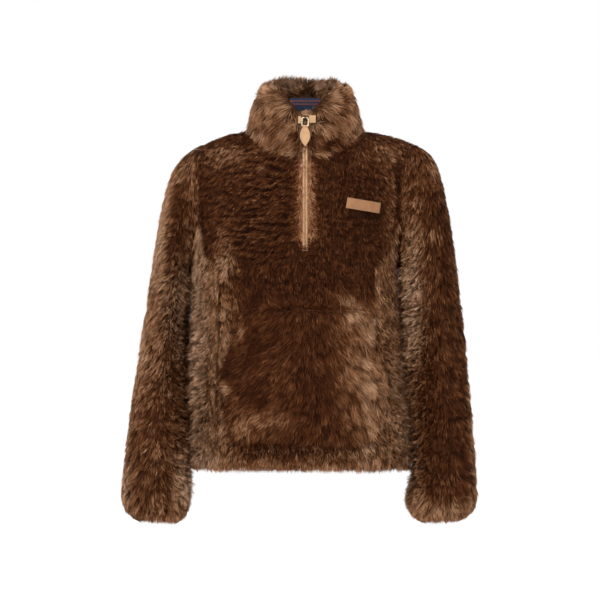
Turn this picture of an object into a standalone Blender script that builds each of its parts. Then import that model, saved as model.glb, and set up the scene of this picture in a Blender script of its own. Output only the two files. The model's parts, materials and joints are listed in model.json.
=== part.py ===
"""A hip-length half-zip shearling anorak, filled out as if worn, with nobody in it.

The long-pile skin is built as one continuous outer surface at the tips of the wool,
and each panel is a wall cut out of that surface: front, back, two side panels, two
sleeves and a stand collar. A kangaroo pocket lies on the front. The half zip has two
leather facings, a chain, a slider, two leather ends at its top, and a leather tab
that hangs from the slider on a metal link. A leather patch lies on the chest and a
woven label inside the back of the collar.

Metres, +Z up, the front faces -Y and +X is to the right in a front view. The origin
is at the middle of the neck, level with the high points of the shoulders.
"""

import math

import bmesh
import bpy
from mathutils import Matrix, Vector

MM = 0.001

# Driving sizes of the body, in millimetres
HEM_Z = -650
ARMPIT_Z = -255
SLOT_HALF = 6  # half the width of the slot that the zip closes
NECK_HALF = 112  # from the middle to where the collar meets the shoulder seam
NECK_FRONT_DROP, NECK_BACK_RISE = 54, 18
NECK_FRONT_Y, NECK_BACK_Y = -100, 70
SHOULDER = {-1: (-207, -31), 1: (201, -21)}  # x and z of each shoulder point
SECTION_POWER = 2.4  # squareness of the body's cross-section
ROLL_POWER = 2.3  # how fully the chest and back roll over to the shoulder seam
ARMHOLE_REACH = 74  # how far the armhole opens to the front and to the back

# Seams. Each panel is moved off its neighbours, so that a seam is a gap of about 0.3 mm.
SHOULDER_SEAM_GAP = 0.3
PANEL_GAP = 0.35
LIE_GAP = 0.7  # what lies on the pile keeps clear of its facets

# Wall thickness, skin and pile together
WALL = 16
HEM_WALLS = (11, 14)  # at the lowest rows
HEM_INSETS = (5.0, 1.5)  # how far the pile curls in at the lowest rows

# The body's outline, a row for each level: z, left edge, right edge, front, back
BODY_ROWS = (
    (-650, -213, 199, -133, 119),
    (-593, -216, 198, -137, 117),
    (-517, -218, 186, -140, 115),
    (-422, -215, 178, -141, 117),
    (-327, -212, 174, -141, 125),
    (-255, -215, 174, -139, 133),
)

# The armhole's edge in a front view, a row for each level: share of its height, left, right
ARMHOLE_ROWS = (
    (0.0, -215, 174),
    (0.2, -206, 175),
    (0.4, -201, 179),
    (0.7, -202, 190),
    (1.0, -207, 201),
)

# Soft troughs in the body, a row for each: face, x, z, depth, half width, half height
BODY_FOLDS = (
    ("front", -192, -170, 9, 18, 60),
    ("front", 176, -150, 8, 16, 55),
    ("front", -110, -262, 4, 70, 30),
    ("front", 90, -290, 4, 80, 30),
    ("back", -185, -160, 9, 22, 60),
    ("back", 165, -160, 9, 22, 60),
    ("back", -20, -470, 7, 130, 34),
    ("back", 40, -330, 5, 110, 32),
)

# Each sleeve from the armhole to the cuff, a row for each ring:
# outer x, outer z, inner x, inner z, middle y, half depth, wall
LEFT_SLEEVE = (
    (-226, -44, -217.5, -259, 0, 62, 16),
    (-245, -62, -219, -263, 0, 70, 16),
    (-261, -95, -220, -269, 0, 76, 16),
    (-274, -142, -220, -277, 0, 79, 16),
    (-284, -198, -219, -288, 0, 80, 16),
    (-293, -258, -218, -304, 0, 79, 16),
    (-304, -330, -217, -345, -2, 75, 16),
    (-317, -412, -219, -415, -5, 70, 16),
    (-330, -500, -222, -500, -10, 66, 16),
    (-342, -590, -220, -590, -18, 64, 16),
    (-351, -665, -217, -665, -24, 65, 16),
    (-352, -698, -217, -698, -26, 64, 15),
    (-346, -722, -221, -722, -26, 59, 12),
    (-336, -738, -227, -738, -26, 52, 10),
    (-325, -747, -237, -747, -26, 44, 9),
)
RIGHT_SLEEVE = (
    (226, -32, 177, -259, 0, 62, 16),
    (245, -51, 178.5, -263, 0, 69, 16),
    (260, -84, 179, -269, 0, 73, 16),
    (271, -132, 179, -277, 0, 75, 16),
    (281, -190, 178, -288, 0, 74, 16),
    (291, -255, 177.5, -304, 0, 72, 16),
    (300, -330, 177.5, -345, -2, 68, 16),
    (310, -412, 182, -415, -5, 64, 16),
    (318, -500, 191, -500, -10, 62, 16),
    (325, -590, 203, -590, -18, 62, 16),
    (329, -665, 200, -665, -24, 64, 16),
    (330, -698, 191, -698, -26, 64, 15),
    (325, -722, 196, -722, -26, 59, 12),
    (315, -738, 205, -738, -26, 52, 10),
    (303, -747, 216, -747, -26, 44, 9),
)

# Soft troughs in the sleeves, a row for each: side, ring, turn in degrees from the outer
# side round the front, depth, half length in rings, half width in degrees
SLEEVE_FOLDS = (
    (-1, 6.3, 125, 7, 0.5, 65),
    (-1, 7.4, 95, 5, 0.45, 60),
    (-1, 9.8, 60, 5, 0.5, 50),
    (-1, 6.8, 250, 7, 0.5, 60),
    (1, 6.0, 120, 6, 0.5, 65),
    (1, 7.6, 80, 6, 0.5, 60),
    (1, 9.6, 110, 5, 0.5, 60),
    (1, 6.9, 245, 7, 0.5, 60),
)

# Counts
SIDE_COLUMNS = 9  # from the slot to the middle of the side
NECK_COLUMN = 5  # of those, the one that ends at the neck
PANEL_COLUMN = 5  # of those, the one where the side panel's seam runs
LOW_ROWS = 12
HIGH_ROWS = 10
ZIP_BOTTOM_ROW = 2  # of the high rows, where the slot starts
SLEEVE_TOP_RINGS, SLEEVE_CUFF_RING = 5, 12
SLEEVE_RING_STEP = 0.4  # between the rings of the sleeve's long middle

# Stand collar, rows from the neck seam up to the rim: share of the height, inset, wall
COLLAR_ROWS = (
    (0.0, 0, WALL),
    (0.22, 0, 19),
    (0.45, 0, 22),
    (0.68, 0.5, 22),
    (0.86, 2, 19),
    (1.0, 9, 11),
)
RIM_HALF = 92
RIM_FRONT_Y, RIM_BACK_Y = -94, 66
RIM_SIDE_Z, RIM_BACK_Z = 88, 98
RIM_DIP, RIM_DIP_POWER = 58, 1.65  # how far the rim dips to the zip, and how it curves

# Kangaroo pocket, a row for each level: z, left edge, right edge
POCKET_ROWS = (
    (-590, -140, 136),
    (-560, -146, 142),
    (-484, -158, 152),
    (-430, -142, 138),
    (-376, -124, 122),
    (-335, -108, 108),
)
POCKET_LEVELS = (-590, -583, -560, -534, -509, -484, -457, -430, -403, -376, -355, -342, -335)
POCKET_COLUMNS = 14
POCKET_RIM_SHARE = 0.03
POCKET_WALL, POCKET_EDGE_WALL = 9, 5

# Zip. A depth counts from the tips of the pile inwards.
ZIP_TOP_Z = 20
FACING = (0.7, 5.6)  # inner and outer edge of each leather facing, from the middle
FACING_DEPTH, FACING_THICK = 6.0, 2.0
CHAIN_HALF, CHAIN_THICK = 5.6, 2.4
PART_GAP = 0.35
PATH_STEP = 12
ZIP_END_THICK = 1.6
ZIP_ENDS = (  # leather ends on the collar: name, inner x, outer x, bottom z, top z
    ("zip_end_left", -7.8, -12.6, 6, 19),
    ("zip_end_right", 7.8, 20.0, 7, 21),
)

# Slider, link and tab
PIVOT_Z, PIVOT_DEPTH = 16.5, -2.6
PULL_REACH = 54  # from the pivot to the tip of the tab
SLIDER_SIZE = (8.4, 4.2, 13.0)
SLIDER_BELOW_PIVOT = 9.5
BRIDGE_RADIUS, BRIDGE_WIDTH, BRIDGE_HOLE = 4.6, 2.4, 1.6
WIRE = 1.1  # radius of the link's wire
LINK_SIZE = (12.0, 16.4)  # between the middles of the wire
LINK_CORNER = 3.2
LOOP_RADIUS, LOOP_HOLE, LOOP_WIDTH = 2.3, 1.4, 8.0
TAB_THICK = 2.4
TAB_OUTLINE = (  # half of the leather tab: how far below the link's lower bar, half width
    (1.6, 4.4),
    (5.0, 6.0),
    (10.0, 8.2),
    (16.0, 9.7),
    (22.0, 9.3),
    (28.0, 7.0),
    (33.0, 3.9),
    (37.5, 0.6),
)
TAB_STEPS = 14

# Chest patch and neck label
PATCH_SIZE = (63, 20)
PATCH_AT = (109, -149)
PATCH_TURN = math.radians(-9)
PATCH_THICK = 2.0
LABEL_HALF = 29
LABEL_SHARES = (0.10, 0.22, 0.45, 0.52)  # its rows, as shares of the collar's height
LABEL_THICK = 1.0

SMOOTH_ANGLE = math.radians(40)

COLOURS = {  # base colour, roughness, metallic
    "wool": ((0.13, 0.055, 0.026), 0.95, 0.0),
    "wool_collar": ((0.22, 0.13, 0.08), 0.95, 0.0),
    "natural_leather": ((0.62, 0.34, 0.17), 0.55, 0.0),
    "zip_metal": ((0.45, 0.36, 0.22), 0.3, 1.0),
    "label_cloth": ((0.02, 0.04, 0.09), 0.9, 0.0),
}


def clear_scene():
    for obj in list(bpy.data.objects):
        bpy.data.objects.remove(obj)


def collection(name):
    made = bpy.data.collections.new(name)
    bpy.context.scene.collection.children.link(made)
    return made


def material(name):
    found = bpy.data.materials.get(name)
    if found:
        return found
    colour, roughness, metallic = COLOURS[name]
    made = bpy.data.materials.new(name)
    made.use_nodes = True
    shader = made.node_tree.nodes["Principled BSDF"]
    shader.inputs["Base Color"].default_value = (*colour, 1)
    shader.inputs["Roughness"].default_value = roughness
    shader.inputs["Metallic"].default_value = metallic
    return made


def smooth(rows, column, at):
    """The column's value at a level between the rows, on a smooth curve through them."""
    levels = [row[0] for row in rows]
    values = [row[column] for row in rows]
    if at <= levels[0]:
        return values[0]
    if at >= levels[-1]:
        return values[-1]
    n = max(i for i, level in enumerate(levels) if level <= at)
    before, after = max(n - 1, 0), min(n + 2, len(rows) - 1)
    span = levels[n + 1] - levels[n]
    share = (at - levels[n]) / span
    rise_in = (values[n + 1] - values[before]) / (levels[n + 1] - levels[before]) * span
    rise_out = (values[after] - values[n]) / (levels[after] - levels[n]) * span
    squared, cubed = share**2, share**3
    return (
        (2 * cubed - 3 * squared + 1) * values[n]
        + (cubed - 2 * squared + share) * rise_in
        + (3 * squared - 2 * cubed) * values[n + 1]
        + (cubed - squared) * rise_out
    )


def bow(share, power):
    """1 in the middle and 0 at a share of 1, as a superellipse."""
    return max(0.0, 1 - abs(share) ** power) ** (1 / power)


def top_of(side, across, face):
    """The point of the neckline or shoulder seam at a column, from 0 in the middle to 1."""
    neck_share = NECK_COLUMN / SIDE_COLUMNS
    shoulder_x, shoulder_z = SHOULDER[side]
    if across <= neck_share:
        x = SLOT_HALF + (NECK_HALF - SLOT_HALF) * math.sin(across / neck_share * math.pi / 2)
        open_share = max(0.0, 1 - (x / NECK_HALF) ** 2)
        if face == "front":
            return side * x, NECK_FRONT_Y * open_share**0.5, -NECK_FRONT_DROP * open_share**0.7
        return side * x, NECK_BACK_Y * open_share**0.5, NECK_BACK_RISE * open_share**0.7
    share = (across - neck_share) / (1 - neck_share)
    x = NECK_HALF + (abs(shoulder_x) - NECK_HALF) * share
    return side * x, 0.0, shoulder_z * share**1.5


def body_point(face, side, across, level):
    """A point of the body's outer surface, in millimetres.

    side is -1 or 1, across runs from 0 at the slot to 1 at the middle of the side or the
    armhole, and level from -1 at the hem through 0 at the armpit to 1 at the shoulder.
    """
    edge_column = 1 if side < 0 else 2
    depth_column = 3 if face == "front" else 4
    rounded = math.sin(across * math.pi / 2)
    if level <= 0:
        z = ARMPIT_Z + level * (ARMPIT_Z - HEM_Z)
        edge = abs(smooth(BODY_ROWS, edge_column, z))
        depth = smooth(BODY_ROWS, depth_column, z)
        x = SLOT_HALF + (edge - SLOT_HALF) * rounded
        return side * x, depth * bow(rounded, SECTION_POWER), z
    top_x, top_y, top_z = top_of(side, across, face)
    edge = abs(smooth(ARMHOLE_ROWS, edge_column, level))
    top_edge = abs(SHOULDER[side][0])
    low_x = SLOT_HALF + (edge - SLOT_HALF) * rounded
    high_x = SLOT_HALF + (edge - SLOT_HALF) * (abs(top_x) - SLOT_HALF) / (top_edge - SLOT_HALF)
    x = low_x + (high_x - low_x) * level
    depth = smooth(BODY_ROWS, depth_column, ARMPIT_Z)
    reach = ARMHOLE_REACH * bow(1 - level, 2.0) / abs(depth)
    cut = bow(reach, SECTION_POWER)
    low_y = depth * bow((x - SLOT_HALF) / (edge - SLOT_HALF) * cut, SECTION_POWER)
    roll = bow(level, ROLL_POWER)
    z = ARMPIT_Z + (top_z - ARMPIT_Z) * level
    return side * x, top_y + (low_y - top_y) * roll, z


def folded(face, place):
    """The place with the body's soft troughs pressed in."""
    x, y, z = place
    inward = 1 if face == "front" else -1
    for fold_face, fold_x, fold_z, depth, half_width, half_height in BODY_FOLDS:
        if fold_face == face:
            off = ((x - fold_x) / half_width) ** 2 + ((z - fold_z) / half_height) ** 2
            y += inward * depth * math.exp(-off)
    return Vector((x, y, z))


def front_at(x, z):
    """The front's outer surface at a place in a front view."""
    side = -1 if x < 0 else 1

    def level_of(across):
        if z <= ARMPIT_Z:
            return (z - ARMPIT_Z) / (ARMPIT_Z - HEM_Z)
        return (z - ARMPIT_Z) / (top_of(side, across, "front")[2] - ARMPIT_Z)

    low, high = 0.0, 1.0
    for _ in range(30):
        middle = (low + high) / 2
        if abs(body_point("front", side, middle, level_of(middle))[0]) < abs(x):
            low = middle
        else:
            high = middle
    return folded("front", (x, body_point("front", side, low, level_of(low))[1], z))


def on_front(x, z):
    """A point of the front panel's surface, and the outward normal there."""
    step = 2.0
    right = front_at(x + step, z) - front_at(x - step, z)
    up = front_at(x, z + step) - front_at(x, z - step)
    return front_at(x, z) - Vector((0, SHOULDER_SEAM_GAP / 2, 0)), right.cross(up).normalized()


def levels():
    """The body's rows from the hem to the shoulder seam."""
    low = [-1, -0.985, -0.95]
    low += [-0.95 + 0.95 * (i + 1) / (LOW_ROWS - 2) for i in range(LOW_ROWS - 2)]
    high = [(1 - math.cos(math.pi * (i + 1) / HIGH_ROWS)) / 2 for i in range(HIGH_ROWS)]
    return low + high


class Coat:
    """The coat's outer surface: shared points, their wall thickness and each panel's faces."""

    def __init__(self):
        self.points, self.walls, self.found, self.faces = [], [], {}, {}
        self.flat = {}  # the normal's part to leave out at a straight edge

    def point(self, place, wall):
        key = tuple(round(c, 3) for c in place)
        if key not in self.found:
            self.found[key] = len(self.points)
            self.points.append(Vector(place))
            self.walls.append(wall)
        return self.found[key]

    def add(self, name, face):
        self.faces.setdefault(name, []).append(face)

    def inner(self):
        """The inner surface's points, each its wall's thickness below the outer one."""
        normals = [Vector() for _ in self.points]
        for faces in self.faces.values():
            for face in faces:
                corners = [self.points[v] for v in face]
                area = (corners[2] - corners[0]).cross(corners[-1] - corners[1])
                for v in face:
                    normals[v] += area
        for v, axis in self.flat.items():
            normals[v][axis] = 0.0
        return [p - n.normalized() * wall for p, n, wall in zip(self.points, normals, self.walls)]


def body_grid(coat, face):
    """Adds the front or the back, with its half of each side panel.

    Returns its grid of point numbers. A side panel's seam runs straight up to the level
    of the armpit, and from there it slants out to the armhole.
    """
    rows = levels()
    columns = [(-1, i) for i in range(SIDE_COLUMNS, -1, -1)]
    columns += [(1, i) for i in range(SIDE_COLUMNS + 1)]
    armpit_row = len(rows) - 1 - HIGH_ROWS
    slot = SIDE_COLUMNS
    grid = []
    for n, level in enumerate(rows):
        line = []
        for side, column in columns:
            place = Vector(body_point(face, side, column / SIDE_COLUMNS, level))
            if column < SIDE_COLUMNS and level < 1:
                place = folded(face, place)
            wall = WALL
            if n < len(HEM_INSETS):
                middle = Vector((0, 0, place.z))
                place -= (place - middle).normalized() * HEM_INSETS[n]
                wall = HEM_WALLS[n]
            index = coat.point(place, wall)
            if n == 0:
                coat.flat[index] = 2
            if face == "front" and column == 0 and n > armpit_row:
                coat.flat[index] = 0
            line.append(index)
        grid.append(line)
    for i in range(len(grid) - 1):
        slant = max(0, i - armpit_row)
        for j in range(len(columns) - 1):
            if face == "front" and j == slot and i >= armpit_row + ZIP_BOTTOM_ROW:
                continue
            a, b, c, d = grid[i][j], grid[i][j + 1], grid[i + 1][j + 1], grid[i + 1][j]
            panel_name = "side_left" if j < slot else "side_right"
            inner_column = slot - 1 - j if j < slot else j - slot - 1
            past_seam = inner_column - PANEL_COLUMN - slant
            if past_seam > 0 or (past_seam == 0 and i < armpit_row):
                pieces = {panel_name: (a, b, c, d)}
            elif past_seam < 0:
                pieces = {face: (a, b, c, d)}
            elif j < slot:
                pieces = {panel_name: (a, b, d), face: (b, c, d)}
            else:
                pieces = {panel_name: (a, b, c), face: (a, c, d)}
            for name, corners in pieces.items():
                coat.add(name, corners if face == "front" else corners[::-1])
    return grid


def sleeve_trough(side, ring, turn):
    """How deep the sleeve's folds press in at a ring and a turn round it."""
    depth = 0.0
    for fold_side, fold_ring, degrees, fold_depth, half_length, half_width in SLEEVE_FOLDS:
        if fold_side == side:
            along = (ring - fold_ring) / half_length
            around = (math.degrees(turn) - degrees) / half_width
            depth += fold_depth * math.exp(-(along**2) - around**2)
    return depth


def sleeve_rings(coat, name, side, table, front, back):
    """Adds a sleeve that starts at the armhole's own points."""
    edge = 0 if side < 0 else -1
    armhole = [row[edge] for row in reversed(front[-HIGH_ROWS - 1 :])]
    armhole += [row[edge] for row in back[-HIGH_ROWS:-1]]
    numbered = [(n, *row) for n, row in enumerate(table)]
    steps = list(range(SLEEVE_TOP_RINGS))
    while steps[-1] + SLEEVE_RING_STEP < SLEEVE_CUFF_RING - SLEEVE_RING_STEP / 2:
        steps.append(steps[-1] + SLEEVE_RING_STEP)
    steps += range(SLEEVE_CUFF_RING, len(table))
    rings = [armhole]
    count = 2 * HIGH_ROWS
    for step in steps:
        outer_x, outer_z, inner_x, inner_z, y, depth, wall = (
            smooth(numbered, column, step) for column in range(1, 8)
        )
        middle = Vector(((inner_x + outer_x) / 2, y, (inner_z + outer_z) / 2))
        half = Vector(((outer_x - inner_x) / 2, 0, (outer_z - inner_z) / 2))
        ring = []
        for n in range(count):
            turn = 2 * math.pi * n / count
            off = half * math.cos(turn) - Vector((0, depth * math.sin(turn), 0))
            off -= off.normalized() * sleeve_trough(side, step, turn)
            ring.append(coat.point(middle + off, wall))
        rings.append(ring)
    for upper, lower in zip(rings, rings[1:]):
        for n in range(count):
            after = (n + 1) % count
            quad = (upper[n], upper[after], lower[after], lower[n])
            coat.add(name, quad if side > 0 else quad[::-1])


def rim_point(place):
    """The point of the collar's rim above a point of the neckline."""
    x, y, _ = place
    side = 1 if x > 0 else -1
    rim_x = RIM_HALF * min(1.0, abs(x) / NECK_HALF)
    if y < -0.001:
        rim_x = max(SLOT_HALF, rim_x)
    open_share = math.sqrt(max(0.0, 1 - (rim_x / RIM_HALF) ** 2))
    if y < -0.001:
        dip = RIM_DIP * (1 - rim_x / RIM_HALF) ** RIM_DIP_POWER
        return Vector((side * rim_x, RIM_FRONT_Y * open_share, RIM_SIDE_Z - dip))
    rise = (RIM_BACK_Z - RIM_SIDE_Z) * open_share
    return Vector((side * rim_x, RIM_BACK_Y * open_share, RIM_SIDE_Z + rise))


def collar_rows(coat, front, back):
    """Adds the stand collar, from one side of the slot round the back to the other."""
    left, right = SIDE_COLUMNS, SIDE_COLUMNS + 1
    ring = front[-1][right : right + NECK_COLUMN + 1]
    ring += back[-1][left - NECK_COLUMN + 1 : right + NECK_COLUMN][::-1]
    ring += front[-1][left - NECK_COLUMN : left + 1]
    middle = Vector((0, (RIM_FRONT_Y + RIM_BACK_Y) / 2, 0))
    rows = [ring]
    for share, inset, wall in COLLAR_ROWS[1:]:
        line = []
        for n, base in enumerate(ring):
            low = coat.points[base]
            place = low.lerp(rim_point(low), share)
            inward = middle - place
            inward.z = 0
            if n in (0, len(ring) - 1):
                inward.x = 0
            index = coat.point(place + inward.normalized() * inset, wall)
            if n in (0, len(ring) - 1):
                coat.flat[index] = 0
            line.append(index)
        rows.append(line)
    for low, high in zip(rows, rows[1:]):
        for n in range(len(low) - 1):
            coat.add("collar", (low[n], low[n + 1], high[n + 1], high[n]))
    return rows


def solid(name, points, faces, finish, home, smooth_angle=None):
    """A named object from points in millimetres and faces."""
    mesh = bpy.data.meshes.new(name)
    mesh.from_pydata([Vector(p) * MM for p in points], [], faces)
    mesh.update()
    if smooth_angle is not None:
        mesh.shade_smooth()
        mesh.set_sharp_from_angle(angle=smooth_angle)
    mesh.materials.append(material(finish))
    made = bpy.data.objects.new(name, mesh)
    home.objects.link(made)
    return made


def wall_faces(sheet, count):
    """Closes a sheet of faces into a wall: its outer, inner and rim faces.

    Inner points are numbered count above their outer ones. A rim is cut along the
    diagonal that its neighbour's rim has too, so that two walls meet without crossing.
    """
    faces = [list(face) for face in sheet]
    faces += [[v + count for v in reversed(face)] for face in sheet]
    edges = set()
    for face in sheet:
        edges.update(zip(face, face[1:] + face[:1]))
    for a, b in sorted(edges):
        if (b, a) in edges:
            continue
        if a < b:
            faces += [[b, a, b + count], [a, a + count, b + count]]
        else:
            faces += [[b, a, a + count], [b, a + count, b + count]]
    return faces


def panel(coat, name, inner, shift, finish, home):
    """One panel of the coat as a wall, moved off its seams."""
    used = sorted({v for face in coat.faces[name] for v in face})
    number = {v: n for n, v in enumerate(used)}
    faces = [tuple(number[v] for v in face) for face in coat.faces[name]]
    points = [coat.points[v] + shift for v in used] + [inner[v] + shift for v in used]
    return solid(name, points, wall_faces(faces, len(used)), finish, home, SMOOTH_ANGLE)


def laid_on(surface, name, rows, thick, edge_thick, finish, home):
    """A sheet that lies on a surface: rows of (x, z) from the lowest, seen from outside."""
    low, high = [], []
    for i, row in enumerate(rows):
        for j, (x, z) in enumerate(row):
            here, out = surface(x, z)
            at_edge = i in (0, len(rows) - 1) or j in (0, len(row) - 1)
            low.append(here + out * LIE_GAP)
            high.append(here + out * (LIE_GAP + (edge_thick if at_edge else thick)))
    return sheet_solid(name, low, high, len(rows[0]), finish, home)


def sheet_solid(name, low, high, width, finish, home):
    """A closed sheet between two grids of points with the same width."""
    quads = [
        (n, n + 1, n + width + 1, n + width)
        for n in range(len(low) - width)
        if n % width < width - 1
    ]
    return solid(name, high + low, wall_faces(quads, len(high)), finish, home, SMOOTH_ANGLE)


def pocket(home):
    """The kangaroo pocket, with slanted hand openings at its upper sides."""
    rim = POCKET_RIM_SHARE
    shares = [0, rim, *(n / POCKET_COLUMNS for n in range(1, POCKET_COLUMNS)), 1 - rim, 1]
    rows = []
    for z in POCKET_LEVELS:
        left, right = smooth(POCKET_ROWS, 1, z), smooth(POCKET_ROWS, 2, z)
        rows.append([(left + (right - left) * share, z) for share in shares])
    return laid_on(on_front, "pocket", rows, POCKET_WALL, POCKET_EDGE_WALL, "wool", home)


def chest_patch(home):
    """The small leather patch on the chest, a little out of level."""
    width, height = PATCH_SIZE
    turn = Matrix.Rotation(PATCH_TURN, 2)
    middle = Vector(PATCH_AT)
    rows = [
        [tuple(middle + turn @ Vector((width * across, height * up))) for across in spread(6)]
        for up in spread(2)
    ]
    return laid_on(on_front, "chest_patch", rows, PATCH_THICK, PATCH_THICK, "natural_leather", home)


def spread(parts):
    """Shares from -0.5 to 0.5 in equal parts."""
    return [n / parts - 0.5 for n in range(parts + 1)]


def on_collar_front(x, z):
    """A point of the collar's outer surface beside the zip, and its outward normal."""
    side = -1 if x < 0 else 1

    def at(x, z):
        turn = math.asin((abs(x) - SLOT_HALF) / (NECK_HALF - SLOT_HALF)) / (math.pi / 2)
        low = Vector(top_of(side, turn * NECK_COLUMN / SIDE_COLUMNS, "front"))
        rim = rim_point(low)
        share = (z - low.z) / (rim.z - low.z)
        return Vector((x, low.lerp(rim, share).y + smooth(COLLAR_ROWS, 1, share), z))

    step = 0.5
    right = (at(x + side * step, z) - at(x, z)) * side
    up = at(x, z + step) - at(x, z - step)
    return at(x, z), right.cross(up).normalized()


def zip_ends(home):
    """The leather ends of the facings, turned out on the collar beside the slider."""
    for name, inner_x, outer_x, bottom, top in ZIP_ENDS:
        left, right = sorted((inner_x, outer_x))
        rows = [[(x, z) for x in (left, right)] for z in (bottom, top)]
        laid_on(on_collar_front, name, rows, ZIP_END_THICK, ZIP_END_THICK, "natural_leather", home)


def at_x(line, x):
    """The point where a line of points that runs to one side crosses an x."""
    for a, b in zip(line, line[1:]):
        if min(a.x, b.x) <= x <= max(a.x, b.x):
            return a.lerp(b, (x - a.x) / (b.x - a.x))
    raise ValueError(f"no point at {x}")


def neck_label(inner, collar, shift, home):
    """The woven label inside the back of the collar, along the wall's inner points."""
    middle = len(collar[0]) // 2
    near, far = [], []
    for share in LABEL_SHARES:
        n = max(i for i, row in enumerate(COLLAR_ROWS) if row[0] <= share)
        part = (share - COLLAR_ROWS[n][0]) / (COLLAR_ROWS[n + 1][0] - COLLAR_ROWS[n][0])
        line = [
            inner[a].lerp(inner[b], part) + shift
            for a, b in zip(collar[n][middle - 3 : middle + 3], collar[n + 1][middle - 3 : middle + 3])
        ]
        row = [at_x(line, -LABEL_HALF), line[3], line[2], at_x(line, LABEL_HALF)]
        near += [p + Vector((0, -LIE_GAP, 0)) for p in row]
        far += [p + Vector((0, -LIE_GAP - LABEL_THICK, 0)) for p in row]
    return sheet_solid("neck_label", near, far, 4, "label_cloth", home)


def zip_path(coat, front, collar):
    """Points up the middle of the slot at the tips of the pile, with outward normals."""
    slot_row = len(front) - 1 - HIGH_ROWS + ZIP_BOTTOM_ROW
    line = [coat.points[row[SIDE_COLUMNS + 1]] for row in front[slot_row:]]
    line += [coat.points[row[0]] for row in collar[1:-1]]
    line = [Vector((0, p.y, p.z)) for p in line]
    line[0] = line[0] + (line[1] - line[0]).normalized()
    fine = [line[0]]
    for a, b in zip(line, line[1:]):
        parts = max(1, round((b - a).length / PATH_STEP))
        fine += [a.lerp(b, (n + 1) / parts) for n in range(parts)]
    for _ in range(3):  # ease the corner at the neck seam
        fine[1:-1] = [(a + b * 2 + c) / 4 for a, b, c in zip(fine, fine[1:], fine[2:])]
    last = max(n for n, p in enumerate(fine) if p.z < ZIP_TOP_Z)
    below, above = fine[last], fine[last + 1]
    fine = fine[: last + 1] + [below.lerp(above, (ZIP_TOP_Z - below.z) / (above.z - below.z))]
    path = []
    for n, here in enumerate(fine):
        ahead = fine[min(n + 1, len(fine) - 1)] - fine[max(n - 1, 0)]
        path.append((here, Vector((0, -ahead.z, ahead.y)).normalized()))
    return path


def strip_along(name, path, left, right, top, thick, finish, home):
    """A flat strip along a path, from left to right and from a depth down."""
    points = []
    for here, out in path:
        for x, depth in ((left, top), (right, top), (right, top + thick), (left, top + thick)):
            points.append(here + Vector((x, 0, 0)) - out * depth)
    last = 4 * (len(path) - 1)
    faces = [[0, 3, 2, 1], [last, last + 1, last + 2, last + 3]]
    for n in range(len(path) - 1):
        for k in range(4):
            a, b = 4 * n + k, 4 * n + (k + 1) % 4
            faces.append([a, b, b + 4, a + 4])
    return solid(name, points, faces, finish, home)


def zip_strips(path, home):
    """The leather facings, and the closed chain behind them."""
    inner, outer = FACING
    for name, left, right in (("left", -outer, -inner), ("right", inner, outer)):
        name = f"zip_facing_{name}"
        strip_along(name, path, left, right, FACING_DEPTH, FACING_THICK, "natural_leather", home)
    below = FACING_DEPTH + FACING_THICK + PART_GAP
    strip_along("zip_chain", path, -CHAIN_HALF, CHAIN_HALF, below, CHAIN_THICK, "zip_metal", home)


def pivot_frame(path):
    """The pull's pivot in millimetres, the pile's tilt there and that of the hanging pull."""

    def nearest(z):
        return min(path, key=lambda point: abs(point[0].z - z))

    here, out = nearest(PIVOT_Z)
    below, _ = nearest(PIVOT_Z - PULL_REACH)
    pull_tilt = -math.atan2(here.y - below.y, here.z - below.z)
    along = Vector((0, out.z, -out.y))
    here = here + along * ((PIVOT_Z - here.z) / along.z)
    return here - out * PIVOT_DEPTH, -math.asin(out.z), pull_tilt


def from_bmesh(name, mesh_data, home):
    mesh = bpy.data.meshes.new(name)
    mesh_data.to_mesh(mesh)
    mesh_data.free()
    made = bpy.data.objects.new(name, mesh)
    home.objects.link(made)
    return made


def round_bar(name, radius, width, z, home):
    """A cylinder along X, at a height below the pivot, in millimetres."""
    shape = bmesh.new()
    bmesh.ops.create_cone(
        shape,
        cap_ends=True,
        segments=20,
        radius1=radius * MM,
        radius2=radius * MM,
        depth=width * MM,
        matrix=Matrix.Translation((0, 0, z * MM)) @ Matrix.Rotation(math.pi / 2, 4, "Y"),
    )
    return from_bmesh(name, shape, home)


def shape_with(piece, cutter, operation):
    """Joins a helper to a piece, or cuts it out, and hides the helper."""
    cutter.parent = piece
    cutter.hide_render = True
    cutter.display_type = "WIRE"
    boolean = piece.modifiers.new(cutter.name, "BOOLEAN")
    boolean.operation = operation
    boolean.object = cutter


def finish_hardware(piece, finish, pivot, tilt):
    """Gives a piece of the pull its material, and puts its origin on the pivot."""
    piece.data.materials.append(material(finish))
    piece.location = pivot * MM
    piece.rotation_euler.x = tilt


def slider(pivot, tilt, home, cutters):
    """The slider's body with the bridge that the link passes through."""
    width, thick, length = SLIDER_SIZE
    back = FACING_DEPTH - PART_GAP - PIVOT_DEPTH
    shape = bmesh.new()
    middle = (0, back - thick / 2, length / 2 - SLIDER_BELOW_PIVOT)
    size = Matrix.Diagonal((width * MM, thick * MM, length * MM, 1))
    bmesh.ops.create_cube(shape, size=1, matrix=Matrix.Translation(Vector(middle) * MM) @ size)
    upright = [e for e in shape.edges if abs(e.verts[0].co.y - e.verts[1].co.y) > MM]
    bmesh.ops.bevel(shape, geom=upright, offset=1.6 * MM, segments=3, affect="EDGES", profile=0.5)
    piece = from_bmesh("zip_slider", shape, home)
    shape_with(piece, round_bar("bridge", BRIDGE_RADIUS, BRIDGE_WIDTH, 0, cutters), "UNION")
    shape_with(piece, round_bar("bridge_hole", BRIDGE_HOLE, BRIDGE_WIDTH * 2, 0, cutters), "DIFFERENCE")
    finish_hardware(piece, "zip_metal", pivot, tilt)


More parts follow.
